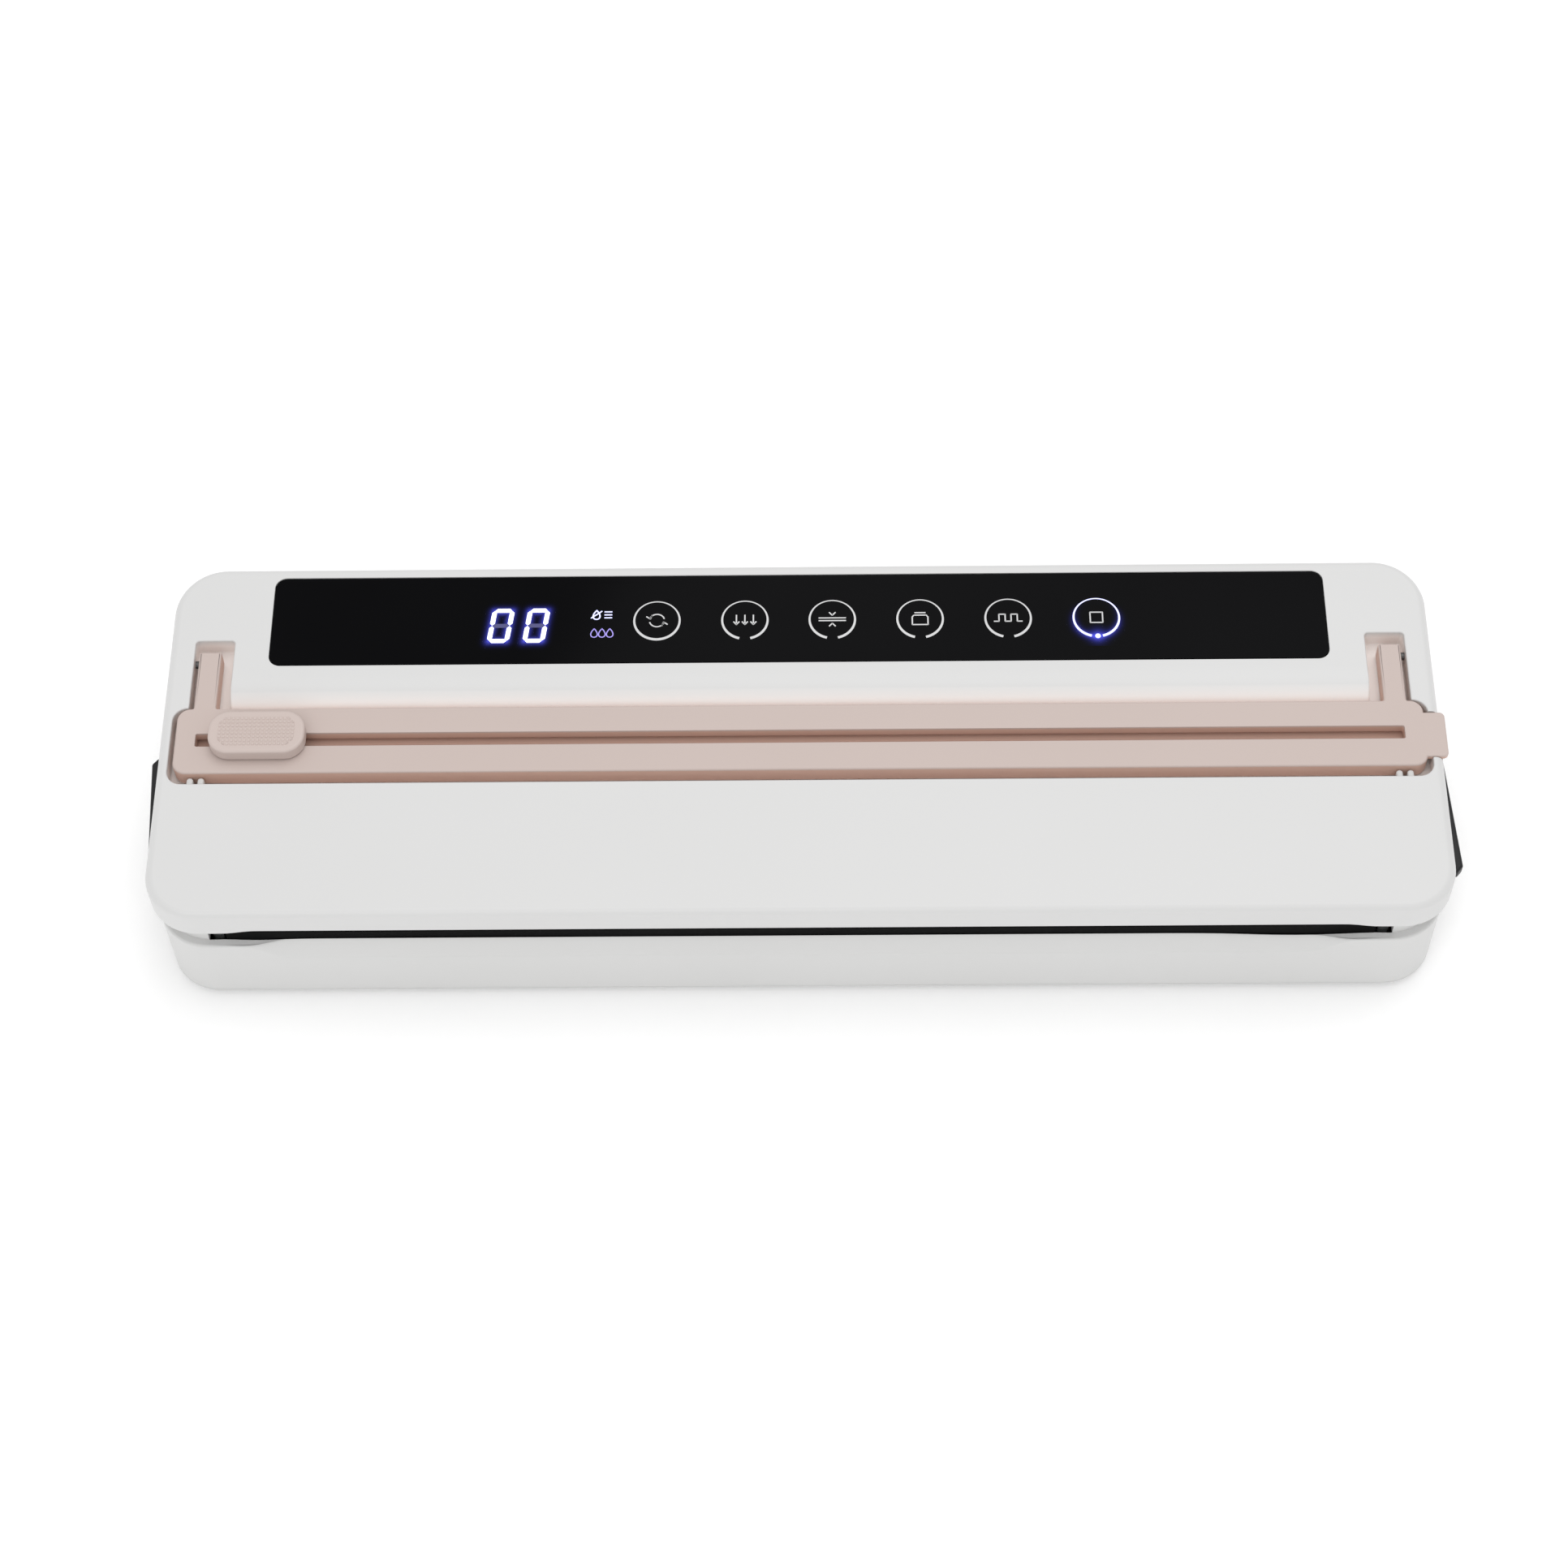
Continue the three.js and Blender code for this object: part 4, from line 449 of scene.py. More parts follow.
def brushed_group():
    """Fine scratches along x: noise drawn out ten times along that axis, with a broad drift."""
    group, given, result = new_group("Brushed along x", {"Scale": 900.0}, ["Height", "Tone"])
    stretch = group.nodes.new("ShaderNodeMapping")
    stretch.inputs["Scale"].default_value = (0.05, 1.0, 1.0)
    group.links.new(given.outputs["Vector"], stretch.inputs["Vector"])
    lines = noise(group, stretch.outputs["Vector"], given.outputs["Scale"], 4.0)
    group.links.new(lines, result.inputs["Height"])
    group.links.new(noise(group, given.outputs["Vector"], 60.0, 2.0), result.inputs["Tone"])
    return group


brushed = brushed_group()


def metal(name, colour, second, roughness):
    """Bare metal: brushed lines in the bump, tone and roughness drifting slowly."""
    material, tree, principled, place = shader(name)
    lines = use_group(tree, brushed, place)
    tree.links.new(ramp(tree, lines.outputs["Tone"], colour, second), principled.inputs["Base Color"])
    tree.links.new(spread(tree, lines.outputs["Height"], roughness, 0.08), principled.inputs["Roughness"])
    principled.inputs["Metallic"].default_value = 1.0
    bump(tree, principled, lines.outputs["Height"], 0.15, 0.00004)
    return material


steel = metal("bright steel", (0.56, 0.57, 0.58), (0.64, 0.645, 0.65), 0.26)
finish_piece(mesh_object("heating strip", lying_bar("heating_strip", 0.1, 0.1)), steel, "base",
             "bright_steel", "heating_strip")


for side in (-1, 1):
    body_x = sorted((side * 170.3, side * 174))
    riser_x = sorted((side * 170.3, side * 171.3))
    tongue_x = sorted((side * 166.5, side * 171.2))
    clip_parts = block(*body_x, -58.1, -52.1, 24, 32, 0.6) + block(*riser_x, -57.9, -52.3, 31.5, 36.5, 0.4)
    clip_parts += block(*tongue_x, -58.0, -52.2, 35.1, 36.6, 0.5)
    where = "right" if side > 0 else "left"
    finish_piece(mesh_object(f"strip clip {where}", clip_parts), steel, "base",
                 "bright_steel", f"strip_clip_{where}")


def woven_group():
    """Plain weave: two crossed sets of rounded threads that pass over each other in turn."""
    group, given, result = new_group("Plain weave", {"Pitch": 1700.0}, ["Height", "Tone"])
    split = group.nodes.new("ShaderNodeSeparateXYZ")
    group.links.new(given.outputs["Vector"], split.inputs["Vector"])
    phase = math_node(group, "MULTIPLY", split.outputs["X"], given.outputs["Pitch"])
    across = math_node(group, "SINE", phase)
    along = math_node(group, "SINE", math_node(group, "MULTIPLY", split.outputs["Y"], given.outputs["Pitch"]))
    group.links.new(math_node(group, "MULTIPLY", across, along), result.inputs["Height"])
    group.links.new(noise(group, given.outputs["Vector"], 90.0, 3.0), result.inputs["Tone"])
    return group


woven = woven_group()
tape_material, tape_tree, tape_shader, tape_place = shader("non-stick tape")
weave = use_group(tape_tree, woven, tape_place)
tape_tree.links.new(ramp(tape_tree, weave.outputs["Tone"], (0.006, 0.0055, 0.005), (0.011, 0.01, 0.009)),
                    tape_shader.inputs["Base Color"])
tape_tree.links.new(spread(tape_tree, weave.outputs["Tone"], 0.5, 0.06), tape_shader.inputs["Roughness"])
bump(tape_tree, tape_shader, weave.outputs["Height"], 0.5, 0.00005)
tape_shader.inputs["Specular IOR Level"].default_value = 0.1
finish_piece(mesh_object("sealing tape", lying_bar("sealing_tape", 0.12, 0.1)), tape_material, "base",
             "nonstick_tape", "sealing_tape")


# ---------- Vacuum chamber ----------
# A white moulded tray hung in the deck: a flange with a groove for the foam ring, and a trough
# that catches liquid. Two hose nozzles leave its rear wall.

flange = rounded_box(-165, 165, -48, -8, 9, 12)
trough = rounded_box(-156, 156, -39, -17, 5, 12)
trough_outside = stack(trough, (-1.4, 15.0), (-0.4, 15.3), (0, 16.2), (0, 31.3))
flange_rings = stack(flange, (-0.3, 31.3), (0, 31.55), (0, 32.5), (-0.1, 32.72), (-0.35, 32.8),
                     (-1.2, 32.8), (-1.2, 32.1), (-7.8, 32.1), (-7.8, 32.8))
trough_inside = stack(trough, (-1.3, 32.8), (-1.65, 32.65), (-1.8, 32.3), (-1.8, 19.2), (-2.1, 17.9),
                      (-2.9, 17.1), (-4.0, 16.8))
tray_parts = shut(trough_outside + flange_rings + trough_inside)
nozzle_profile = [(1.5, -17.6), (1.5, -8.0), (2.7, -8.0), (3.0, -8.6), (3.0, -10.4), (2.5, -11), (2.5, -17.6)]
for x in (20, -30):
    turns = [along_y(round_points[::-1] * r + (x, 22), y) for r, y in nozzle_profile]
    tray_parts.append(skin(turns[::-1], closed=True))
tray = mesh_object("chamber tray", tray_parts)
finish_piece(tray, white_plastic, "base", "white_shell", "chamber_tray")


# ---------- Foam rings ----------
# Closed-cell black foam: one ring in the tray's groove and one under the lid's liner. Closing the
# lid squeezes them together round the chamber. Both are rounded strips stuck in their grooves.

def cells_group():
    """Foam cells: rounded pits of two sizes for the height, and the same pits painted darker for the tone, a
    painted shade in the hollows.
    """
    group, given, result = new_group("Foam cells", {"Scale": 1500.0}, ["Height", "Tone"])
    small = group.nodes.new("ShaderNodeTexVoronoi")
    group.links.new(given.outputs["Vector"], small.inputs["Vector"])
    group.links.new(given.outputs["Scale"], small.inputs["Scale"])
    large = group.nodes.new("ShaderNodeTexVoronoi")
    large.inputs["Scale"].default_value = 520.0
    group.links.new(given.outputs["Vector"], large.inputs["Vector"])
    both = math_node(group, "MINIMUM", small.outputs["Distance"],
                     math_node(group, "ADD", large.outputs["Distance"], 0.25))
    group.links.new(both, result.inputs["Height"])
    group.links.new(both, result.inputs["Tone"])
    return group


foam_cells = cells_group()
foam, foam_tree, foam_shader, foam_place = shader("black foam")
cells = use_group(foam_tree, foam_cells, foam_place)
# Painted shade: the foam's colour runs darker into the pits of its cells.
foam_colour_and_pit_shade = ramp(foam_tree, cells.outputs["Tone"], (0.004, 0.004, 0.004), (0.022, 0.022, 0.023), 0.05, 0.6)
foam_tree.links.new(foam_colour_and_pit_shade, foam_shader.inputs["Base Color"])
foam_tree.links.new(spread(foam_tree, cells.outputs["Tone"], 0.86, 0.08), foam_shader.inputs["Roughness"])
bump(foam_tree, foam_shader, cells.outputs["Height"], 0.7, 0.00015)


def foam_ring(name, node, body, crown):
    """Closed strip round the chamber: a rectangle six wide whose crown side bulges a little."""
    z0, z1 = span(node)[4:]
    section = rounded_outline([(1.5, z0), (7.5, z0), (7.5, z1), (1.5, z1)], crown, 5)[0]
    rings = [ring(*flange, -inset, z) for inset, z in section]
    loop = mesh_object(name, [skin(rings, closed=True)])
    return finish_piece(loop, foam, body, "black_foam", node, angle=60)


foam_ring("lower foam ring", "lower_gasket", "base", [0.2, 0.2, 0.9, 0.9])
foam_ring("upper foam ring", "upper_gasket", "lid", [1.1, 1.1, 0.2, 0.2])


# ---------- Mains inlet and hose socket ----------
# A black figure-of-eight inlet and a round socket for a canister hose, both let into the base's
# rear wall and held by a flange behind it. The inlet's two contacts are bright pins.

inlet_place = (-110, 17.2)


def figure_eight(half_pitch, r):
    """Outline of two circles side by side and the waist between them, in x and z."""
    left = np.radians(np.linspace(90, 270, 17))
    right = np.radians(np.linspace(-90, 90, 17))
    ring_left = np.stack([-half_pitch + r * np.cos(left), r * np.sin(left)], 1)
    ring_right = np.stack([half_pitch + r * np.cos(right), r * np.sin(right)], 1)
    waist = np.array([[0.0, -r * 0.86]])
    top = np.array([[0.0, r * 0.86]])
    outline = np.concatenate([ring_left, waist, ring_right, top])
    return outline[::-1] + inlet_place


socket_outline = figure_eight(4.3, 4.2)
face = rounded_box(-121, -99, 10.5, 23.9, 1.2, 9)
face_outline = face[0][::-1]
face_normals = face[1][::-1]
inlet_rings = [along_y(face_outline - face_normals * inset, y) for inset, y in (
    (0.5, 46.25), (0, 46.6), (0, 60.9), (0.12, 61.16), (0.35, 61.25))]
inlet_parts = [skin(inlet_rings)]


def cap_y(outer, holes, facing):
    """Flat face at one y between outlines in x and z, facing +y or -y."""
    points, faces = cap(outer[:, [0, 2, 1]], [hole[:, [0, 2, 1]] for hole in holes], up=facing < 0)
    return points[:, [0, 2, 1]], faces


socket_rings = [along_y(socket_outline + (socket_outline - inlet_place) * grow_by, y) for grow_by, y in (
    (0.05, 61.25), (0.015, 61.1), (0.0, 60.8), (0.0, 49.65))]
inlet_parts += [skin(socket_rings), cap_y(inlet_rings[0], [], -1),
                cap_y(inlet_rings[-1], [socket_rings[0]], 1),
                cap_y(socket_rings[-1], [], 1)]
inlet_parts += block(-123, -97, 57.0, 58.5, 9.0, 25.4, 0.4)
inlet = mesh_object("mains inlet", inlet_parts)
finish_piece(inlet, black_plastic, "base", "black_plastic", "power_inlet")

port_turn = [(1.8, 50.9), (1.8, 60.9), (2.0, 61.25), (3.9, 61.25), (4.3, 61.1), (4.5, 60.7), (4.5, 58.6),
             (6.0, 58.5), (6.0, 57.1), (4.5, 57.0), (4.5, 50.9)]
port_rings = [along_y(round_points[::-1] * r + port_place, y) for r, y in port_turn]
port = mesh_object("hose socket", [skin(port_rings[::-1], closed=True)])
finish_piece(port, black_plastic, "base", "black_plastic", "canister_port")


# ---------- Side release buttons ----------
# Black wedges at both ends of the base that free the lid's latches when squeezed. Each is one
# moulding with a flange behind the wall and is pushed out by a coil spring.

def release_button(turned):
    """Wedge and flange on the right side, or turned half a turn about the latch for the left."""
    y0, y1 = latch_y - 21.6, latch_y + 21.6
    corners = [(187.6, y0), (197.1, y0), (198.8, y0 + 2), (196.4, y1 - 1.5), (195.0, y1), (187.6, y1)]
    points, normals = rounded_outline(corners, [0.2, 0.9, 1.2, 1.2, 0.9, 0.2], 7)
    rings = []
    quarter = quarter_turn(7)
    for a in quarter:
        rings.append(ring(points, normals, -0.9 * (1 - math.sin(a)), 22.8 + 0.9 * (1 - math.cos(a))))
    for a in quarter:
        rings.append(ring(points, normals, -0.9 * (1 - math.cos(a)), 27 - 0.9 * (1 - math.sin(a))))
    parts = shut(rings)
    parts += block(186.2, 188.1, y0 - 1.2, y1 + 1.2, 21.6, 27.9, 0.5)
    if turned:
        parts = [(p * (-1, -1, 1) + (0, 2 * latch_y, 0), f) for p, f in parts]
    return parts


for where, turned in (("right", False), ("left", True)):
    button = mesh_object(f"release button {where}", release_button(turned))
    finish_piece(button, black_plastic, f"release_{where}", "black_plastic", f"release_button_{where}")


# ---------- Lid shell ----------
# The hinged white lid, moulded in the same satin ABS as the base: rounded top edges, a recess and
# two arm pockets for the cutter, a rounded console behind it and a shallow bed for the panel.

lid_half, lid_front, lid_rear = 192.5, -61.75, 61.75
lid_top, recess_floor, recess_depth = 48.4, 41.8, 6.6
lid_points, lid_normals = with_front_points(
    *rounded_box(-lid_half, lid_half, lid_front, lid_rear, 15.5, 18), -176, 176, 141)
sideways = lid_normals[:, 0] ** 2
relief = np.where(lid_normals[:, 1] < -0.99, eased((170 - np.abs(lid_points[:, 0])) / 10), 0)
lid_foot = 37.1 + 1.4 * relief
lid_rings = [ring(lid_points, lid_normals, -2.4, 45.4), ring(lid_points, lid_normals, -2.2, 45.2)]
for out, lift in ((2.2, 0.3), (1.9, 0), (0.45, 0), (0.13, 0.13), (0, 0.45)):
    lid_rings.append(ring(lid_points, lid_normals, -out, lid_foot + lift))
for angle in quarter_turn(11):
    lid_rings.append(ring(lid_points, lid_normals, -(1.9 + 0.9 * sideways) * (1 - math.cos(angle)),
                          lid_top - (2.0 + 1.6 * sideways) * (1 - math.sin(angle))))


def armed_outline(half, y0, y1, y_middle, arm_inner, arm_outer, arm_end, r):
    """Bar across the lid with an arm reaching back near each end; y_middle is where the rear side
    runs between the arms. r gives the radii of the bar, the inner corners and the arms."""
    bar_r, inner_r, arm_r = r
    right = [(half, y0), (half, y1), (arm_outer, y1), (arm_outer, arm_end), (arm_inner, arm_end),
             (arm_inner, y_middle)]
    corners = [*right, *[(-x, y) for x, y in right[::-1]]]
    radii = [bar_r, bar_r, inner_r, arm_r, arm_r, inner_r]
    return rounded_outline(corners, [*radii, *radii[::-1]], 7)


def console_line(z):
    """Where the console's rounded front stands at a height: a quarter ellipse, upright at the
    recess floor and level at the lid's top."""
    rise = np.clip((z - recess_floor) / recess_depth, 0, 1)
    return 21.75 - 11.4 * math.sqrt(1 - rise * rise)


recess_levels = np.unique(np.concatenate([
    recess_floor + recess_depth * np.sin(quarter_turn(28)),
    lid_top - 0.5 * (1 - np.sin(quarter_turn(6))),
    recess_floor + 0.7 * (1 - np.cos(quarter_turn(5)))]).round(4))[::-1]
recess_rings = []
for z in recess_levels:
    flare = 0.5 - math.sqrt(max(0.25 - max(z - 47.9, 0) ** 2, 0))
    toe = 0.7 - math.sqrt(max(0.49 - max(42.5 - z, 0) ** 2, 0))
    outline = armed_outline(189.1, -16.55, 10.35, console_line(z), 172.5, 184.5, 34.85, (4.5, 0.8, 1.2))
    recess_rings.append(ring(*outline, flare - toe, z))
bed = rounded_box(-161.8, 161.5, 25.5, 58.0, 3.6, 10)
bed_rings = stack(bed, (0.25, lid_top), (0.07, 48.33), (0, 48.15), (0, 46.7))
under = armed_outline(189.65, -18.15, 11.95, 15.35, 170.9, 186.1, 36.45, (4.5, 1.0, 1.2))
under_rings = stack(under, (-0.5, 39.6), (0, 40.1), (0, 45.4))
lid_parts = [skin(lid_rings), cap(lid_rings[-1], [recess_rings[0], bed_rings[0]]),
             skin(recess_rings), cap(recess_rings[-1]), skin(bed_rings), cap(bed_rings[-1]),
             cap(lid_rings[0], [under_rings[-1]], up=False), skin(under_rings), cap(under_rings[0], up=False)]
lid = mesh_object("lid", lid_parts)
carve(lid, mesh_object("tool", block(188.2, 195, -10.2, 6.1, 46.25, 50, 0.5)),
      mesh_object("tool", block(-181.5, 181.5, -1.95, -0.35, 40.8, 43, 0.3)))
extras = []
knuckle = rounded_outline([(53.55, 45.9), (53.55, 29.7), (59.95, 29.7), (59.95, 38.0), (58.9, 45.9)],
                          [0.3, 3.19, 3.19, 0.3, 0.3], 8)
for side in (-1, 1):
    extras += bar_along_x(*knuckle, side * hinge_x - 12, side * hinge_x + 12, 0.35)
    for x in (182.25, 178.95):
        nub = rounded_outline([(side * x - 1, -17.2), (side * x + 1, -17.2), (side * x + 1, -13.35),
                               (side * x - 1, -13.35)], [0.1, 0.1, 0.95, 0.95], 6)
        crown = [(-0.6 * (1 - math.cos(a)), 46.0 + 0.6 * math.sin(a)) for a in np.radians((30, 60, 90))]
        extras += shut(stack(nub, (0, 41.5), (0, 46.0), *crown))
# The rose frame throws warm light on the recess walls, more towards the recess floor.
spots = np.zeros(len(lid.data.vertices) * 3)
lid.data.vertices.foreach_get("co", spots)
sx, sy, sz = (spots.reshape(-1, 3) * 1000).T
in_recess = (np.abs(sx) < 189.8) & (sy > -17.4) & (sy < 35) & (sz > 41.5) & (sz < 47.6)
warm = lid.data.attributes.new("rose_light", "FLOAT", "POINT")
depth_share = np.clip((47.9 - sz) / 2.5, 0, 1)
warm.data.foreach_set("value", np.where(in_recess, 0.9 * depth_share, 0).astype(np.float32))
lid_plastic = moulded("white lid plastic", (0.650, 0.649, 0.645), (0.660, 0.659, 0.656), 0.42)
lid_tree = lid_plastic.node_tree
lid_shader = lid_tree.nodes["Principled BSDF"]
plain_white = lid_shader.inputs["Base Color"].links[0].from_socket
warm_read = lid_tree.nodes.new("ShaderNodeAttribute")
warm_read.attribute_name = "rose_light"
warm_mix = lid_tree.nodes.new("ShaderNodeMix")
warm_mix.data_type = "RGBA"
warm_mix.inputs[7].default_value = (0.94, 0.882, 0.852, 1)
lid_tree.links.new(warm_read.outputs["Fac"], warm_mix.inputs[0])
lid_tree.links.new(plain_white, warm_mix.inputs[6])
lid_tree.links.new(warm_mix.outputs[2], lid_shader.inputs["Base Color"])
trim = mesh_object("lid hinge knuckles and stops", extras)
finish_piece(trim, white_plastic, "lid", "white_shell")
finish_piece(lid, lid_plastic, "lid", "white_shell", "lid_shell")


# ---------- Lid liner and seal strip ----------
# The flat white plate screwed under the lid. It carries the upper foam ring and, along the front,
# a soft black rubber strip that presses the bag on to the heat bar.

x0, x1, y0, y1, z0, z1 = span("lid_liner")
plate = rounded_box(x0, x1, y0, y1, 12, 12)
liner = mesh_object("lid liner", shut(stack(
    plate, (-0.5, z0), (-0.15, z0 + 0.1), (0, z0 + 0.4), (0, z1 - 0.3), (-0.3, z1))))
liner_cuts = []
for sx in (-1, 1):
    hook_gap = sorted((sx * 173.5, sx * 182))
    liner_cuts.append(mesh_object("tool", block(*hook_gap, latch_y - 6.8, latch_y + 6.8, 36, 39, 0.8)))
carve(liner, *liner_cuts)
finish_piece(liner, white_plastic, "lid", "white_shell", "lid_liner")
seal_rubber = moulded("seal rubber", (0.004, 0.004, 0.004), (0.007, 0.007, 0.007), 0.6, 0.3, 2200.0,
                     specular=0.05)
finish_piece(mesh_object("seal strip", lying_bar("seal_strip", 0.7, 0.5)), seal_rubber, "lid",
             "seal_rubber", "seal_strip")


# ---------- Cutter frame ----------
# The dusty-rose frame that lifts up over the bag: a long plate with a slot, a skirt under it, two
# arms back to the pivots and a finger tab at the right. One moulding in satin ABS.

# Lit and shaded copies of one rose plastic: the knob's copy is painted lighter than the frame's, painted
# light standing in for how each is lit.
rose_plastic = moulded("rose satin plastic", (0.560, 0.468, 0.433), (0.572, 0.479, 0.444), 0.44)
rose_frame_shaded = moulded("rose frame plastic", (0.535, 0.443, 0.408), (0.547, 0.454, 0.419), 0.44)


def paint_low_shade(material, colour, low, high):
    """Paints the plastic a deeper, warmer colour from one height down to another: painted shade and painted
    rose bounce light on the lower walls, not a colour of the plastic itself."""
    tree = material.node_tree
    principled = tree.nodes["Principled BSDF"]
    plain = principled.inputs["Base Color"].links[0].from_socket
    split = tree.nodes.new("ShaderNodeSeparateXYZ")
    coordinates = next(n for n in tree.nodes if n.type == "TEX_COORD")
    tree.links.new(coordinates.outputs["Object"], split.inputs["Vector"])
    fade = tree.nodes.new("ShaderNodeMapRange")
    fade.interpolation_type = "SMOOTHSTEP"
    fade.inputs["From Min"].default_value = low
    fade.inputs["From Max"].default_value = high
    fade.inputs["To Min"].default_value = 1.0
    fade.inputs["To Max"].default_value = 0.0
    tree.links.new(split.outputs["Z"], fade.inputs["Value"])
    low_shade_mix = tree.nodes.new("ShaderNodeMix")
    low_shade_mix.data_type = "RGBA"
    low_shade_mix.inputs[7].default_value = (*colour, 1)
    tree.links.new(fade.outputs["Result"], low_shade_mix.inputs[0])
    tree.links.new(plain, low_shade_mix.inputs[6])
    tree.links.new(low_shade_mix.outputs[2], principled.inputs["Base Color"])


# Painted shade: the frame and rail run to a deeper, warmer rose below the top edge, standing in for shade and
# bounce light down in the recess.
paint_low_shade(rose_frame_shaded, (0.63, 0.42, 0.342), 0.0474, 0.0482)
frame_outline = armed_outline(187.7, -12.95, 10.15, 10.15, 176.3, 183.0, 30.65, (4.0, 0.5, 0.5))
frame_rings = stack(frame_outline, (-0.35, 42.4), (-0.1, 42.5), (0, 42.75))
for angle in quarter_turn(7):
    frame_rings.append(ring(*frame_outline, -0.65 * (1 - math.cos(angle)),
                            lid_top - 0.65 * (1 - math.sin(angle))))
slot_outline = rounded_box(-181.5, 181.5, -3.35, 1.05, 0.5, 8)
track_outline = rounded_box(-181.5, 181.5, -5.45, 3.15, 0.5, 8)
rail_outline = rounded_box(-183.2, 183.2, -10.55, 7.75, 0.6, 8)
inner_rings = stack(slot_outline, (0.35, lid_top), (0.1, 48.3), (0, 48.05), (0, 45.2))
inner_rings += stack(track_outline, (0, 45.2), (0, 43.8)) + stack(rail_outline, (0, 43.8), (0, 42.4))
frame_parts = [skin(frame_rings), cap(frame_rings[-1], [inner_rings[0]]), skin(inner_rings),
               cap(frame_rings[0], [inner_rings[-1]], up=False)]
tab = rounded_box(184.5, 193.9, -9.85, 5.75, 1.6, 8)
tab_rings = stack(tab, (-0.35, 46.6), (-0.1, 46.7), (0, 46.9))
for angle in quarter_turn(6):
    tab_rings.append(ring(*tab, -0.5 * (1 - math.cos(angle)), 48.39 - 0.5 * (1 - math.sin(angle))))
cutter = mesh_object("cutter frame", frame_parts + shut(tab_rings))
finish_piece(cutter, rose_frame_shaded, "cutter", "rose_plastic", "cutter_frame")


# ---------- Cutter rail ----------
# The rose strip under the frame that guides the carrier. A narrow slit down its middle lets the
# blade through. It is snapped into the channel on the frame's underside.

rail_edge = rounded_box(-182.9, 182.9, -10.25, 7.45, 0.5, 6)
slit = rounded_box(-181.5, 181.5, -1.85, -0.45, 0.3, 6)
rail_rings = stack(rail_edge, (-0.1, 42.5), (0, 42.6), (0, 43.6), (-0.1, 43.7))
slit_rings = stack(slit, (0.12, 43.7), (0, 43.58), (0, 42.62), (0.12, 42.5))
rail = mesh_object("cutter rail", [skin(rail_rings), cap(rail_rings[-1], [slit_rings[0]]), skin(slit_rings),
                                   cap(rail_rings[0], [slit_rings[-1]], up=False)])
finish_piece(rail, rose_frame_shaded, "cutter", "rose_plastic", "cutter_rail")


# ---------- Slider knob ----------
# The rose knob that carries the blade along the slot. Its top is flat with eased edges and a field of small
# square studs for grip. A neck through the slot joins it to the carrier; that neck is not drawn here.

knob_x, knob_y = -162.5, -1.15
knob_outline = rounded_box(knob_x - 14.5, knob_x + 14.5, knob_y - 7.4, knob_y + 7.4, 6.3, 16)
knob_rings = stack(knob_outline, (-0.5, 48.7), (-0.15, 48.8), (0, 49.1))
for angle in quarter_turn(9):
    knob_rings.append(ring(*knob_outline, -0.95 * (1 - math.cos(angle)),
                           53.15 - 0.85 * (1 - math.sin(angle))))
knob_parts = shut(knob_rings)
stud_pitch = 1.29
gx, gy = np.meshgrid(np.linspace(-11.6, 11.6, 181), np.linspace(-5.5, 5.5, 89))


def stud(t, pitch):
    """Height across one row of studs: flat tops two thirds of the pitch wide with sloped sides."""
    s = np.abs((t / pitch) % 1.0 - 0.5)
    return np.clip((0.42 - s) / 0.14, 0, 1)


within_field = (np.abs(gx) < 11.4) & (np.abs(gy) < 5.3) & (np.abs(gx) + np.abs(gy) < 14.2)
field = np.where(within_field, np.minimum(stud(gx, stud_pitch), stud(gy, stud_pitch)), 0)
sheet_z = 53.0 + 0.38 * field
stud_points = np.stack([gx + knob_x, gy + knob_y, sheet_z], -1).reshape(-1, 3)
rows, columns = gx.shape
cell = np.arange(rows * columns).reshape(rows, columns)
stud_faces = np.stack([cell[:-1, :-1], cell[:-1, 1:], cell[1:, 1:], cell[1:, :-1]], -1).reshape(-1, 4)
edge = np.concatenate([cell[0, :-1], cell[:-1, -1], cell[-1, :0:-1], cell[:0:-1, 0]])
low_edge = stud_points[edge] * (1, 1, 0) + (0, 0, 52.6)
count = len(edge)
skirt = np.stack([np.arange(count), (np.arange(count) + 1) % count], 1)
skirt_faces = np.concatenate([skirt, skirt[:, ::-1] + count], 1)
knob_parts += [(stud_points, stud_faces.tolist()),
               (np.concatenate([low_edge, stud_points[edge]]), skirt_faces.tolist()),
               (low_edge, [list(range(count))[::-1]])]
knob = mesh_object("slider knob", knob_parts)
finish_piece(knob, rose_plastic, "slider", "rose_plastic", "slider_knob", angle=40)


# ---------- Touch panel ----------
# A strip of glossy black acrylic stuck in the lid's bed, printed from behind with touch rings and
# signs, with a two-digit display and lamps that shine through it.

panel_glass, panel_tree, panel_shader, panel_place = shader("panel acrylic")
haze = use_group(panel_tree, moulded_grain, panel_place, Scale=300.0)
panel_tree.links.new(ramp(panel_tree, haze.outputs["Tone"], (0.0026, 0.0026, 0.0031),
                          (0.0034, 0.0034, 0.0039)),
                     panel_shader.inputs["Base Color"])
panel_tree.links.new(spread(panel_tree, haze.outputs["Tone"], 0.09, 0.02), panel_shader.inputs["Roughness"])
panel_shader.inputs["Specular IOR Level"].default_value = 0.025
panel_outline = rounded_box(-161.65, 161.35, 25.65, 57.85, 3.5, 12)
panel = mesh_object("touch panel", shut(stack(
    panel_outline, (-0.2, 46.75), (0, 46.95), (0, 48.1), (-0.06, 48.26), (-0.22, 48.34))))
finish_piece(panel, panel_glass, "lid", "panel_glass", "control_panel")


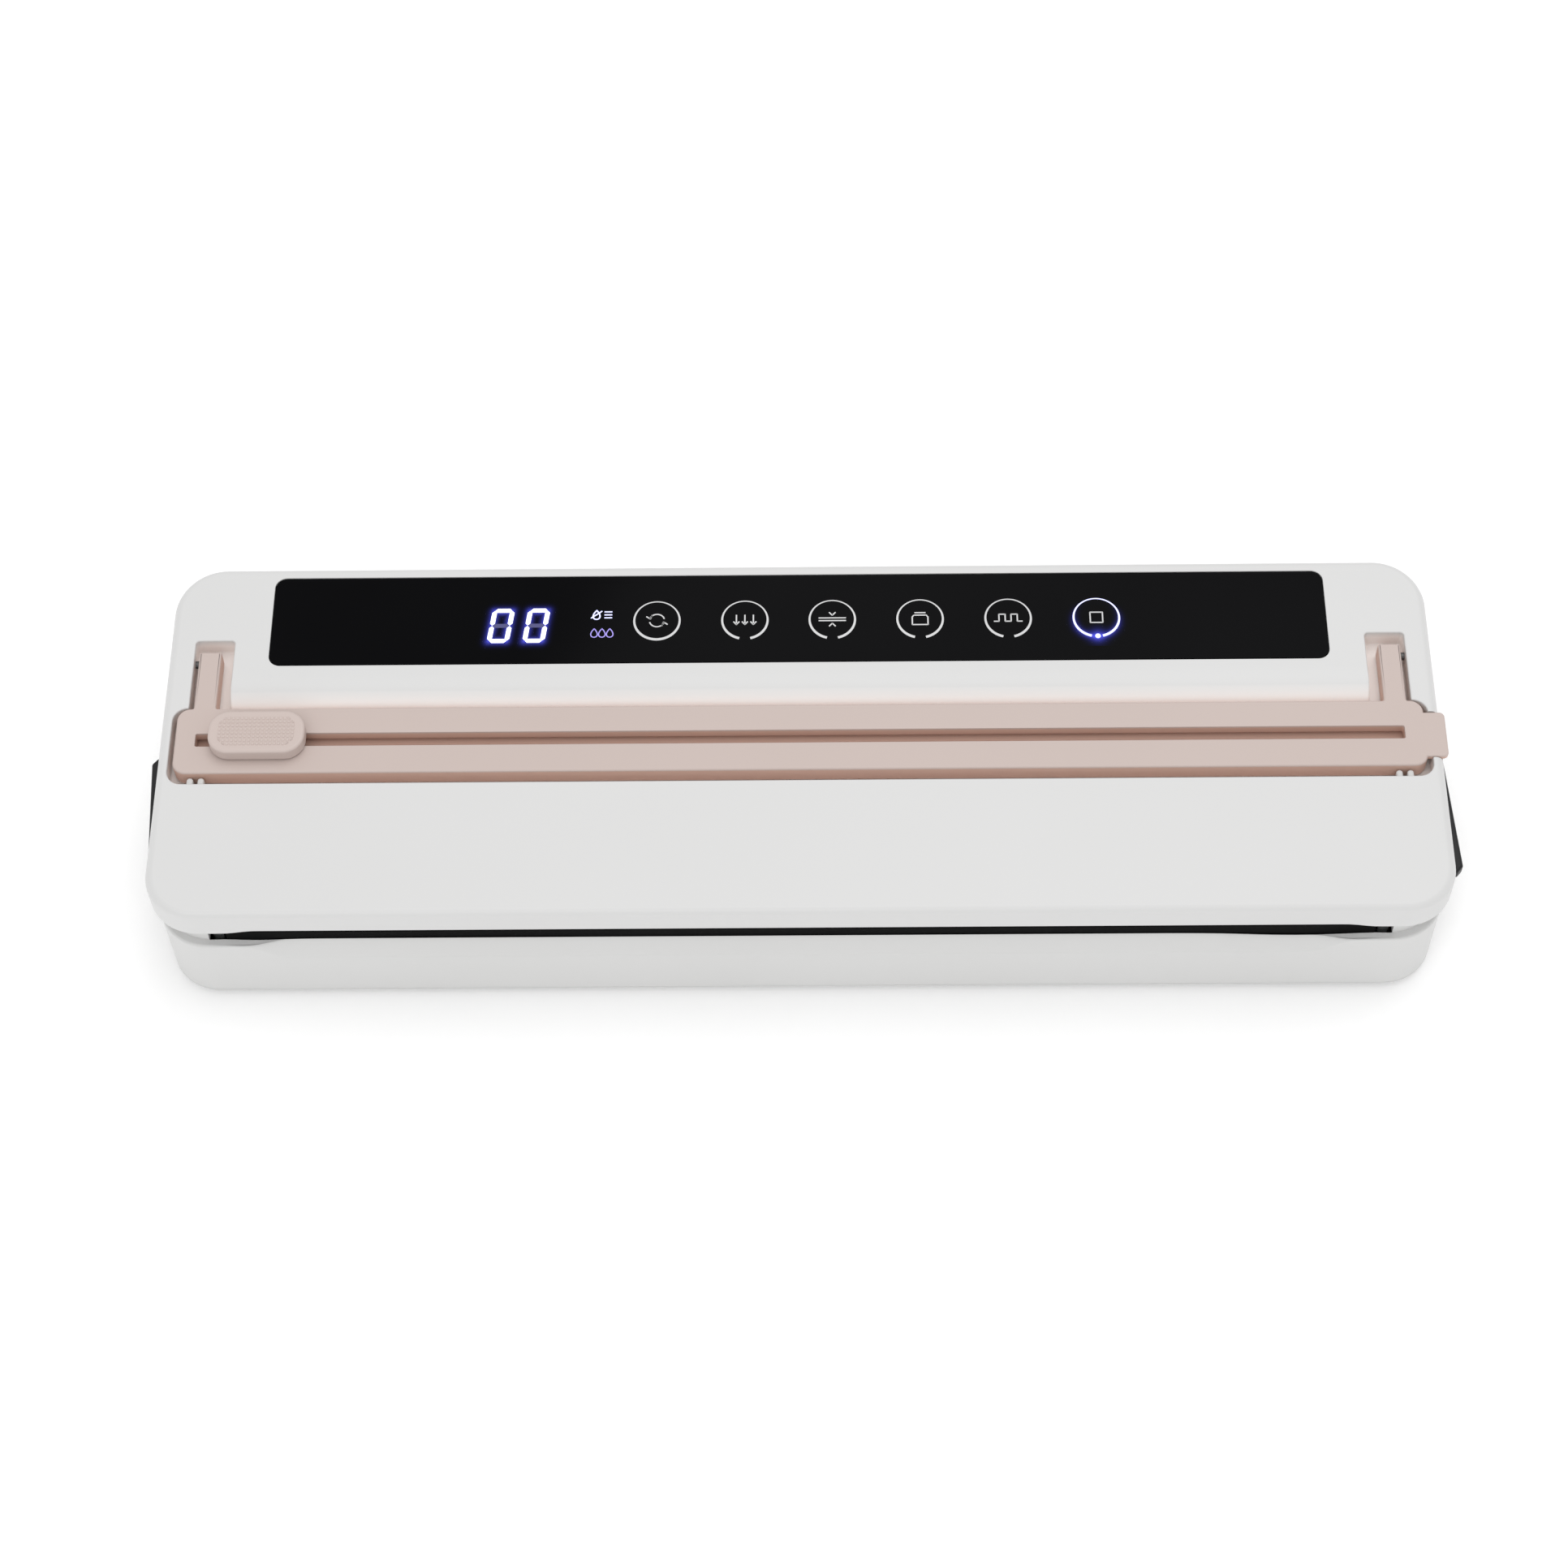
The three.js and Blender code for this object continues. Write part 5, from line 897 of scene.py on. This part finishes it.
def ribbon(line, width, z, closed=False):
    """Flat stroke along a line in x and y: half the width is laid off to each side of it, square
    to the mean of the two directions that meet at each point."""
    line = np.asarray(line, float)
    if closed:
        step = np.roll(line, -1, 0) - np.roll(line, 1, 0)
    else:
        step = np.gradient(line, axis=0)
    step /= np.linalg.norm(step, axis=1)[:, None]
    side = np.stack([-step[:, 1], step[:, 0]], 1) * (np.broadcast_to(width, len(line)) / 2)[:, None]
    points = np.concatenate([line - side, line + side])
    points = np.concatenate([points, np.full((len(points), 1), z)], 1)
    k = np.arange(len(line) if closed else len(line) - 1)
    nxt = (k + 1) % len(line)
    faces = np.stack([k, nxt, nxt + len(line), k + len(line)], 1)
    return points, faces.tolist()


def fine(points):
    """The polyline with extra points a hair from each corner, so that strokes keep square turns."""
    p = np.asarray(points, float)
    a, b = p[:-1], p[1:]
    t = np.array([0.0, 0.02, 0.5, 0.98])
    inner = (a[:, None, :] + (b - a)[:, None, :] * t[None, :, None]).reshape(-1, 2)
    return np.concatenate([inner, p[-1:]])


ring_x = [-43.42, -16.44, 10.36, 37.26, 64.22, 91.22]
ring_y, ring_r, print_z = 41.15, 6.97, 48.37
prints = []
lit = []
for k, x in enumerate(ring_x):
    gap = 0 if k == 0 else 14
    turn = np.radians(np.linspace(-90 + gap, 270 - gap, 97))
    circle_line = np.stack([x + ring_r * np.cos(turn), ring_y + ring_r * np.sin(turn)], 1)
    width = 0.62 - 0.24 * np.sin(turn)
    (lit if k == 5 else prints).append(ribbon(circle_line, width, print_z))
arc = np.radians(np.linspace(0, 150, 20))
signs = {
    0: [np.stack([2.3 * np.cos(arc + 0.25), 2.3 * np.sin(arc + 0.25)], 1),
        -np.stack([2.3 * np.cos(arc + 0.25), 2.3 * np.sin(arc + 0.25)], 1),
        fine([(-3.3, 1.5), (-2.05, 0.6), (-1.5, 2.0)]), fine([(3.3, -1.5), (2.05, -0.6), (1.5, -2.0)])],
    1: [fine([(x, 1.9), (x, -1.5)]) for x in (-2.6, 0, 2.6)] + [
        fine([(x - 0.9, -0.6), (x, -1.7), (x + 0.9, -0.6)]) for x in (-2.6, 0, 2.6)],
    2: [fine([(-4.2, 0.5), (4.2, 0.5)]), fine([(-4.2, -0.5), (4.2, -0.5)]),
        fine([(-1.0, 2.6), (0, 1.5), (1.0, 2.6)]), fine([(-1.0, -2.6), (0, -1.5), (1.0, -2.6)])],
    3: [fine([(-1.9, 1.3), (-2.4, 0.6), (-2.4, -2.2), (2.4, -2.2), (2.4, 0.6), (1.9, 1.3), (-1.9, 1.3)]),
        fine([(-1.7, 2.2), (1.7, 2.2)])],
    4: [fine([(-4.4, -1.2), (-2.8, -1.2), (-2.8, 1.4), (-0.9, 1.4), (-0.9, -1.2), (0.9, -1.2), (0.9, 1.4),
              (2.8, 1.4), (2.8, -1.2), (4.4, -1.2)])],
    5: [fine([(0, 1.9), (1.9, 1.9), (1.9, -1.9), (-1.9, -1.9), (-1.9, 1.9), (0, 1.9)])],
}
for k, strokes in signs.items():
    for line in strokes:
        prints.append(ribbon(line + np.array([ring_x[k], ring_y]), 0.42, print_z))
t = np.radians(np.linspace(0, 360, 41))[:-1]
drop = np.stack([1.25 * np.sin(t) * np.sin(t / 2), 1.5 * np.cos(t)], 1)
wet = [ribbon(drop * 1.05 + (x, 36.7), 0.34, print_z, closed=True) for x in (-62.6, -60.2, -57.8)]
lit.append(ribbon(drop * 1.1 + (-62.0, 43.4), 0.42, print_z, closed=True))
lit.append(ribbon(fine([(-63.7, 42.2), (-60.3, 44.8)]), 0.42, print_z))
lit += [ribbon(fine([(-59.6, y), (-57.2, y)]), 0.42, print_z) for y in (42.3, 43.4, 44.5)]
dot = np.stack([np.cos(circle), np.sin(circle), np.zeros(48)], 1) * 0.85 + (91.4, 34.3, print_z)
lit.append((dot, [list(range(48))]))


digit_lefts, digit_foot, slant = (-94.7, -83.8), 34.0, 0.125


def digit_segments(x, y, names):
    """Seven-segment strokes of one digit whose lower left corner is at x and y, leaning over by
    an eighth of its height. Each stroke is a bar with pointed ends."""
    w, h, reach = 5.4, 11.2, 0.72
    ends = {"a": ((0, h), (w, h)), "b": ((w, h), (w, h / 2)), "c": ((w, h / 2), (w, 0)), 
            "d": ((w, 0), (0, 0)), "e": ((0, 0), (0, h / 2)), "f": ((0, h / 2), (0, h)),
            "g": ((0, h / 2), (w, h / 2))}
    parts = []
    for name in names:
        p, q = np.array(ends[name], float)
        along = (q - p) / np.linalg.norm(q - p)
        across = np.array([-along[1], along[0]]) * reach
        p, q = p + along * 0.12, q - along * 0.12
        loop = np.array([p, p + along * reach - across, q - along * reach - across, q,
                         q - along * reach + across, p + along * reach + across])
        loop[:, 0] += loop[:, 1] * slant
        parts.append((np.concatenate([loop + (x, y), np.full((6, 1), print_z)], 1), [list(range(6))]))
    return parts


digits, faint = [], []
for x in digit_lefts:
    digits += digit_segments(x, digit_foot, "abcdef")
    faint += digit_segments(x, digit_foot, "g")


def facing_up(obj):
    """Turns every flat face of a printed piece to look up."""
    work = bmesh.new()
    work.from_mesh(obj.data)
    down = [f for f in work.faces if f.normal.z < 0]
    bmesh.ops.reverse_faces(work, faces=down)
    work.to_mesh(obj.data)
    work.free()
    return obj


def ink(name, colour, second, glow, strength):
    """Printed or lit sign: colour drifts a little like screen print, and glows if it is lit."""
    material, tree, principled, place = shader(name)
    grain = use_group(tree, moulded_grain, place, Scale=900.0)
    tree.links.new(ramp(tree, grain.outputs["Tone"], colour, second), principled.inputs["Base Color"])
    tree.links.new(spread(tree, grain.outputs["Height"], 0.35, 0.1), principled.inputs["Roughness"])
    if strength:
        tree.links.new(ramp(tree, grain.outputs["Tone"], glow, tuple(min(1, v * 1.06) for v in glow)),
                       principled.inputs["Emission Color"])
        principled.inputs["Emission Strength"].default_value = strength
    return material


for name, parts, material in (
        ("panel print", prints, ink("panel print", (0.6, 0.6, 0.61), (0.66, 0.66, 0.66), (1, 1, 1), 0)),
        ("panel lamps", lit, ink("lamp light", (0.5, 0.5, 0.9), (0.55, 0.55, 0.95), (0.62, 0.66, 1.0), 0.8)),
        ("panel dim lamp", wet, ink("dim lamp", (0.3, 0.26, 0.6), (0.33, 0.28, 0.65),
                                    (0.24, 0.18, 0.7), 0.5)),
        ("panel digits", digits, ink("digit light", (0.8, 0.8, 1), (0.85, 0.85, 1), (0.86, 0.88, 1.0), 1.3)),
        # The unlit middle bars glow faintly blue: painted light on segments that are not lit.
        ("panel unlit bars", faint, ink("unlit bar", (0.03, 0.03, 0.07), (0.04, 0.04, 0.08),
                                        (0.05, 0.05, 0.25), 0.5))):
    finish_piece(facing_up(mesh_object(name, parts)), material, "lid", "panel_glass")


def glow_patch(name, cx, cy, wx, wy, strength_at, colour):
    """Sheet just over the panel whose own light fades as the given function of x and y does."""
    px, py = np.meshgrid(np.linspace(-wx, wx, 121) + cx, np.linspace(-wy, wy, 91) + cy)
    grid = np.arange(px.size).reshape(px.shape)
    faces = np.stack([grid[:-1, :-1], grid[:-1, 1:], grid[1:, 1:], grid[1:, :-1]], -1).reshape(-1, 4)
    points = np.stack([px, py, np.full(px.shape, 48.355)], -1).reshape(-1, 3)
    obj = mesh_object(name, [(points, faces.tolist())])
    where = np.zeros(len(obj.data.vertices) * 3)
    obj.data.vertices.foreach_get("co", where)
    where = where.reshape(-1, 3) * 1000
    level = strength_at(where[:, 0], where[:, 1]).clip(0, 1)
    mask = obj.data.attributes.new("glow", "FLOAT", "POINT")
    mask.data.foreach_set("value", level.astype(np.float32))
    material, tree, principled, place = shader(name)
    grain = use_group(tree, moulded_grain, place, Scale=500.0)
    read = tree.nodes.new("ShaderNodeAttribute")
    read.attribute_name = "glow"
    tree.links.new(ramp(tree, grain.outputs["Tone"], colour, tuple(v * 0.94 for v in colour)),
                   principled.inputs["Emission Color"])
    principled.inputs["Emission Strength"].default_value = 1.0
    principled.inputs["Base Color"].default_value = (0.004, 0.004, 0.005, 1)
    principled.inputs["Specular IOR Level"].default_value = 0.0
    tree.links.new(read.outputs["Fac"], principled.inputs["Alpha"])
    return finish_piece(obj, material, "lid", "panel_glass")


def near_digits(x, y):
    """Light round the two digits: falls off with the distance from each digit's slanted frame."""
    total = 0
    for left in digit_lefts:
        v = y - digit_foot
        u = x - left - v * slant
        dx = np.abs(np.abs(u - 2.6) - 2.6)
        dy = np.abs(np.abs(v - 5.45) - 5.45)
        beyond_x = np.maximum(np.abs(u - 2.6) - 2.6, 0)
        beyond_y = np.maximum(np.abs(v - 5.45) - 5.45, 0)
        outside = np.hypot(beyond_x, beyond_y)
        within = np.minimum(dx, dy)
        distance = np.where(outside > 0, outside, within)
        total = total + np.exp(-(distance / 1.0) ** 1.5)
    return 0.9 * total


def near_ring(x, y):
    """Light round the lit ring: strongest at its foot, fading with distance from the line."""
    dx, dy = x - ring_x[5], y - ring_y
    distance = np.abs(np.hypot(dx, dy) - ring_r)
    low = np.clip(0.5 - dy / 14, 0, 1) ** 1.5
    spot = np.exp(-((np.hypot(x - 91.4, y - 34.3)) / 1.6) ** 1.5)
    return 0.75 * np.exp(-(distance / 0.8) ** 1.3) * low ** 1.5 + 0.8 * spot


glow_patch("digit glow", -85.3, 39.4, 15, 10.5, near_digits, (0.10, 0.11, 0.85))
glow_patch("ring glow", 91.3, 40.6, 11, 10, near_ring, (0.10, 0.11, 0.85))


# ---------- Working parts under the covers ----------
# Screws, pins, latches, springs, pump, valve, hoses and boards keep the shapes they have
# in the CAD model. Each gets a real finish: steel, plastic, silicone, resin board or winding.

silicone = moulded("silicone hose", (0.56, 0.56, 0.53), (0.62, 0.62, 0.6), 0.38, 0.1, 700.0)
silicone.node_tree.nodes["Principled BSDF"].inputs["Transmission Weight"].default_value = 0.3

board, board_tree, board_shader, board_place = shader("circuit board")
cells_node = board_tree.nodes.new("ShaderNodeTexVoronoi")
cells_node.feature = "DISTANCE_TO_EDGE"
cells_node.distance = "EUCLIDEAN"
cells_node.inputs["Scale"].default_value = 260.0
board_tree.links.new(board_place, cells_node.inputs["Vector"])
traces = ramp(board_tree, cells_node.outputs["Distance"], (0.02, 0.14, 0.06), (0.012, 0.075, 0.035),
              0.03, 0.06)
board_tree.links.new(traces, board_shader.inputs["Base Color"])
board_tree.links.new(spread(board_tree, cells_node.outputs["Distance"], 0.35, 0.1),
                     board_shader.inputs["Roughness"])
bump(board_tree, board_shader, cells_node.outputs["Distance"], 0.3, 0.00005)

winding, winding_tree, winding_shader, winding_place = shader("transformer winding")
turns_node = winding_tree.nodes.new("ShaderNodeTexWave")
turns_node.bands_direction = "Z"
turns_node.inputs["Scale"].default_value = 900.0
turns_node.inputs["Distortion"].default_value = 1.5
winding_tree.links.new(winding_place, turns_node.inputs["Vector"])
winding_tree.links.new(ramp(winding_tree, turns_node.outputs["Fac"], (0.09, 0.045, 0.02), (0.26, 0.14, 0.06)),
                       winding_shader.inputs["Base Color"])
winding_tree.links.new(spread(winding_tree, turns_node.outputs["Fac"], 0.4, 0.1),
                       winding_shader.inputs["Roughness"])
bump(winding_tree, winding_shader, turns_node.outputs["Fac"], 0.5, 0.0001)

dull_steel = metal("dull steel", (0.11, 0.11, 0.112), (0.15, 0.15, 0.152), 0.5)
sides = ("left", "right")
screws = [f"{plate}_screw_{end}_{side}"
          for plate in ("cover", "liner") for end in ("front", "rear") for side in sides]
bright_pairs = [f"{piece}_{side}"
                for piece in ("inlet_pin", "hinge_pin", "latch_plate", "latch_spring") for side in sides]
finishes = [
    (steel, ["pump_motor", "pump_crank", "cutter_blade", *bright_pairs, *screws]),
    (black_plastic, ["pump_head", "release_valve", "lid_switch_left", "lid_switch_right",
                     "slider_carrier", "digit_module"]),
    (silicone, ["pump_hose", "valve_hose"]),
    (board, ["power_board", "display_board"]),
    (winding, ["transformer"]),
    (white_plastic, ["latch_hook_left", "latch_hook_right"]),
    (dull_steel, ["pivot_pin_left", "pivot_pin_right"]),
]
for material, names in finishes:
    for name in names:
        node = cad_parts[name]
        node.data.materials.clear()
        node.data.materials.append(material)
        ease = node.modifiers.new("eased edges", "BEVEL")
        ease.width = 0.00008 if "spring" in name or "blade" in name else 0.00025
        ease.segments = 2
        ease.limit_method = "ANGLE"
        ease.angle_limit = math.radians(40)


# ---------- Floor, light and camera ----------
# A plain pale floor under an even white sky, with two large soft lamps above the front and the
# rear. The camera looks down at the front with a long lens.

floor_mesh = bpy.data.meshes.new("floor")
floor_mesh.from_pydata([(-6, -6, 0), (6, -6, 0), (6, 6, 0), (-6, 6, 0)], [], [(0, 1, 2, 3)])
floor = bpy.data.objects.new("floor", floor_mesh)
bpy.context.scene.collection.objects.link(floor)
floor_material, floor_tree, floor_shader, floor_place = shader("pale floor")
floor_grain = use_group(floor_tree, moulded_grain, floor_place, Scale=40.0)
floor_tone = ramp(floor_tree, floor_grain.outputs["Tone"], (0.965, 0.965, 0.965), (0.975, 0.975, 0.975))
floor_tree.links.new(floor_tone, floor_shader.inputs["Base Color"])
floor_shader.inputs["Roughness"].default_value = 0.9
floor_shader.inputs["Specular IOR Level"].default_value = 0.0
floor_shader.inputs["Emission Color"].default_value = (1, 1, 1, 1)
floor_shader.inputs["Emission Strength"].default_value = 0.1
floor_mesh.materials.append(floor_material)

sky = bpy.data.worlds.new("studio")
bpy.context.scene.world = sky
sky.use_nodes = True
sky_tree = sky.node_tree
background = sky_tree.nodes["Background"]
background.inputs["Color"].default_value = (1, 1, 1, 1)
background.inputs["Strength"].default_value = 0.78


def soft_lamp(name, place, target, size, power):
    """Square area lamp of a size at a place, turned to shine at the target."""
    data = bpy.data.lights.new(name, "AREA")
    data.shape = "SQUARE"
    data.size = size
    data.energy = power
    lamp = bpy.data.objects.new(name, data)
    lamp.location = place
    lamp.rotation_euler = (Vector(target) - Vector(place)).to_track_quat("-Z", "Y").to_euler()
    bpy.context.scene.collection.objects.link(lamp)
    return lamp


soft_lamp("front lamp", (-0.5, -1.6, 1.7), (0, 0, 0.03), 1.6, 9.0)
soft_lamp("rear lamp", (0.3, 0.6, 2.1), (0, 0, 0.03), 1.6, 13.5)

pitch, yaw, roll = math.radians(58.285), math.radians(-1.386), math.radians(-1.569)
ahead = Vector((math.sin(yaw) * math.cos(pitch), math.cos(yaw) * math.cos(pitch), -math.sin(pitch)))
level = Vector((math.cos(yaw), -math.sin(yaw), 0))
raised = level.cross(ahead)
right = level * math.cos(roll) + raised * math.sin(roll)
above = raised * math.cos(roll) - level * math.sin(roll)
camera_data = bpy.data.cameras.new("camera")
camera_data.lens = 77.87
camera_data.sensor_width = 36
camera_data.clip_start = 0.05
camera = bpy.data.objects.new("camera", camera_data)
bpy.context.scene.collection.objects.link(camera)
turn_matrix = Matrix((right, above, -ahead)).transposed()
camera.matrix_world = Matrix.Translation((0.008434, -0.54825, 0.90650)) @ turn_matrix.to_4x4()
bpy.context.scene.camera = camera
bpy.context.scene.view_settings.view_transform = "Standard"
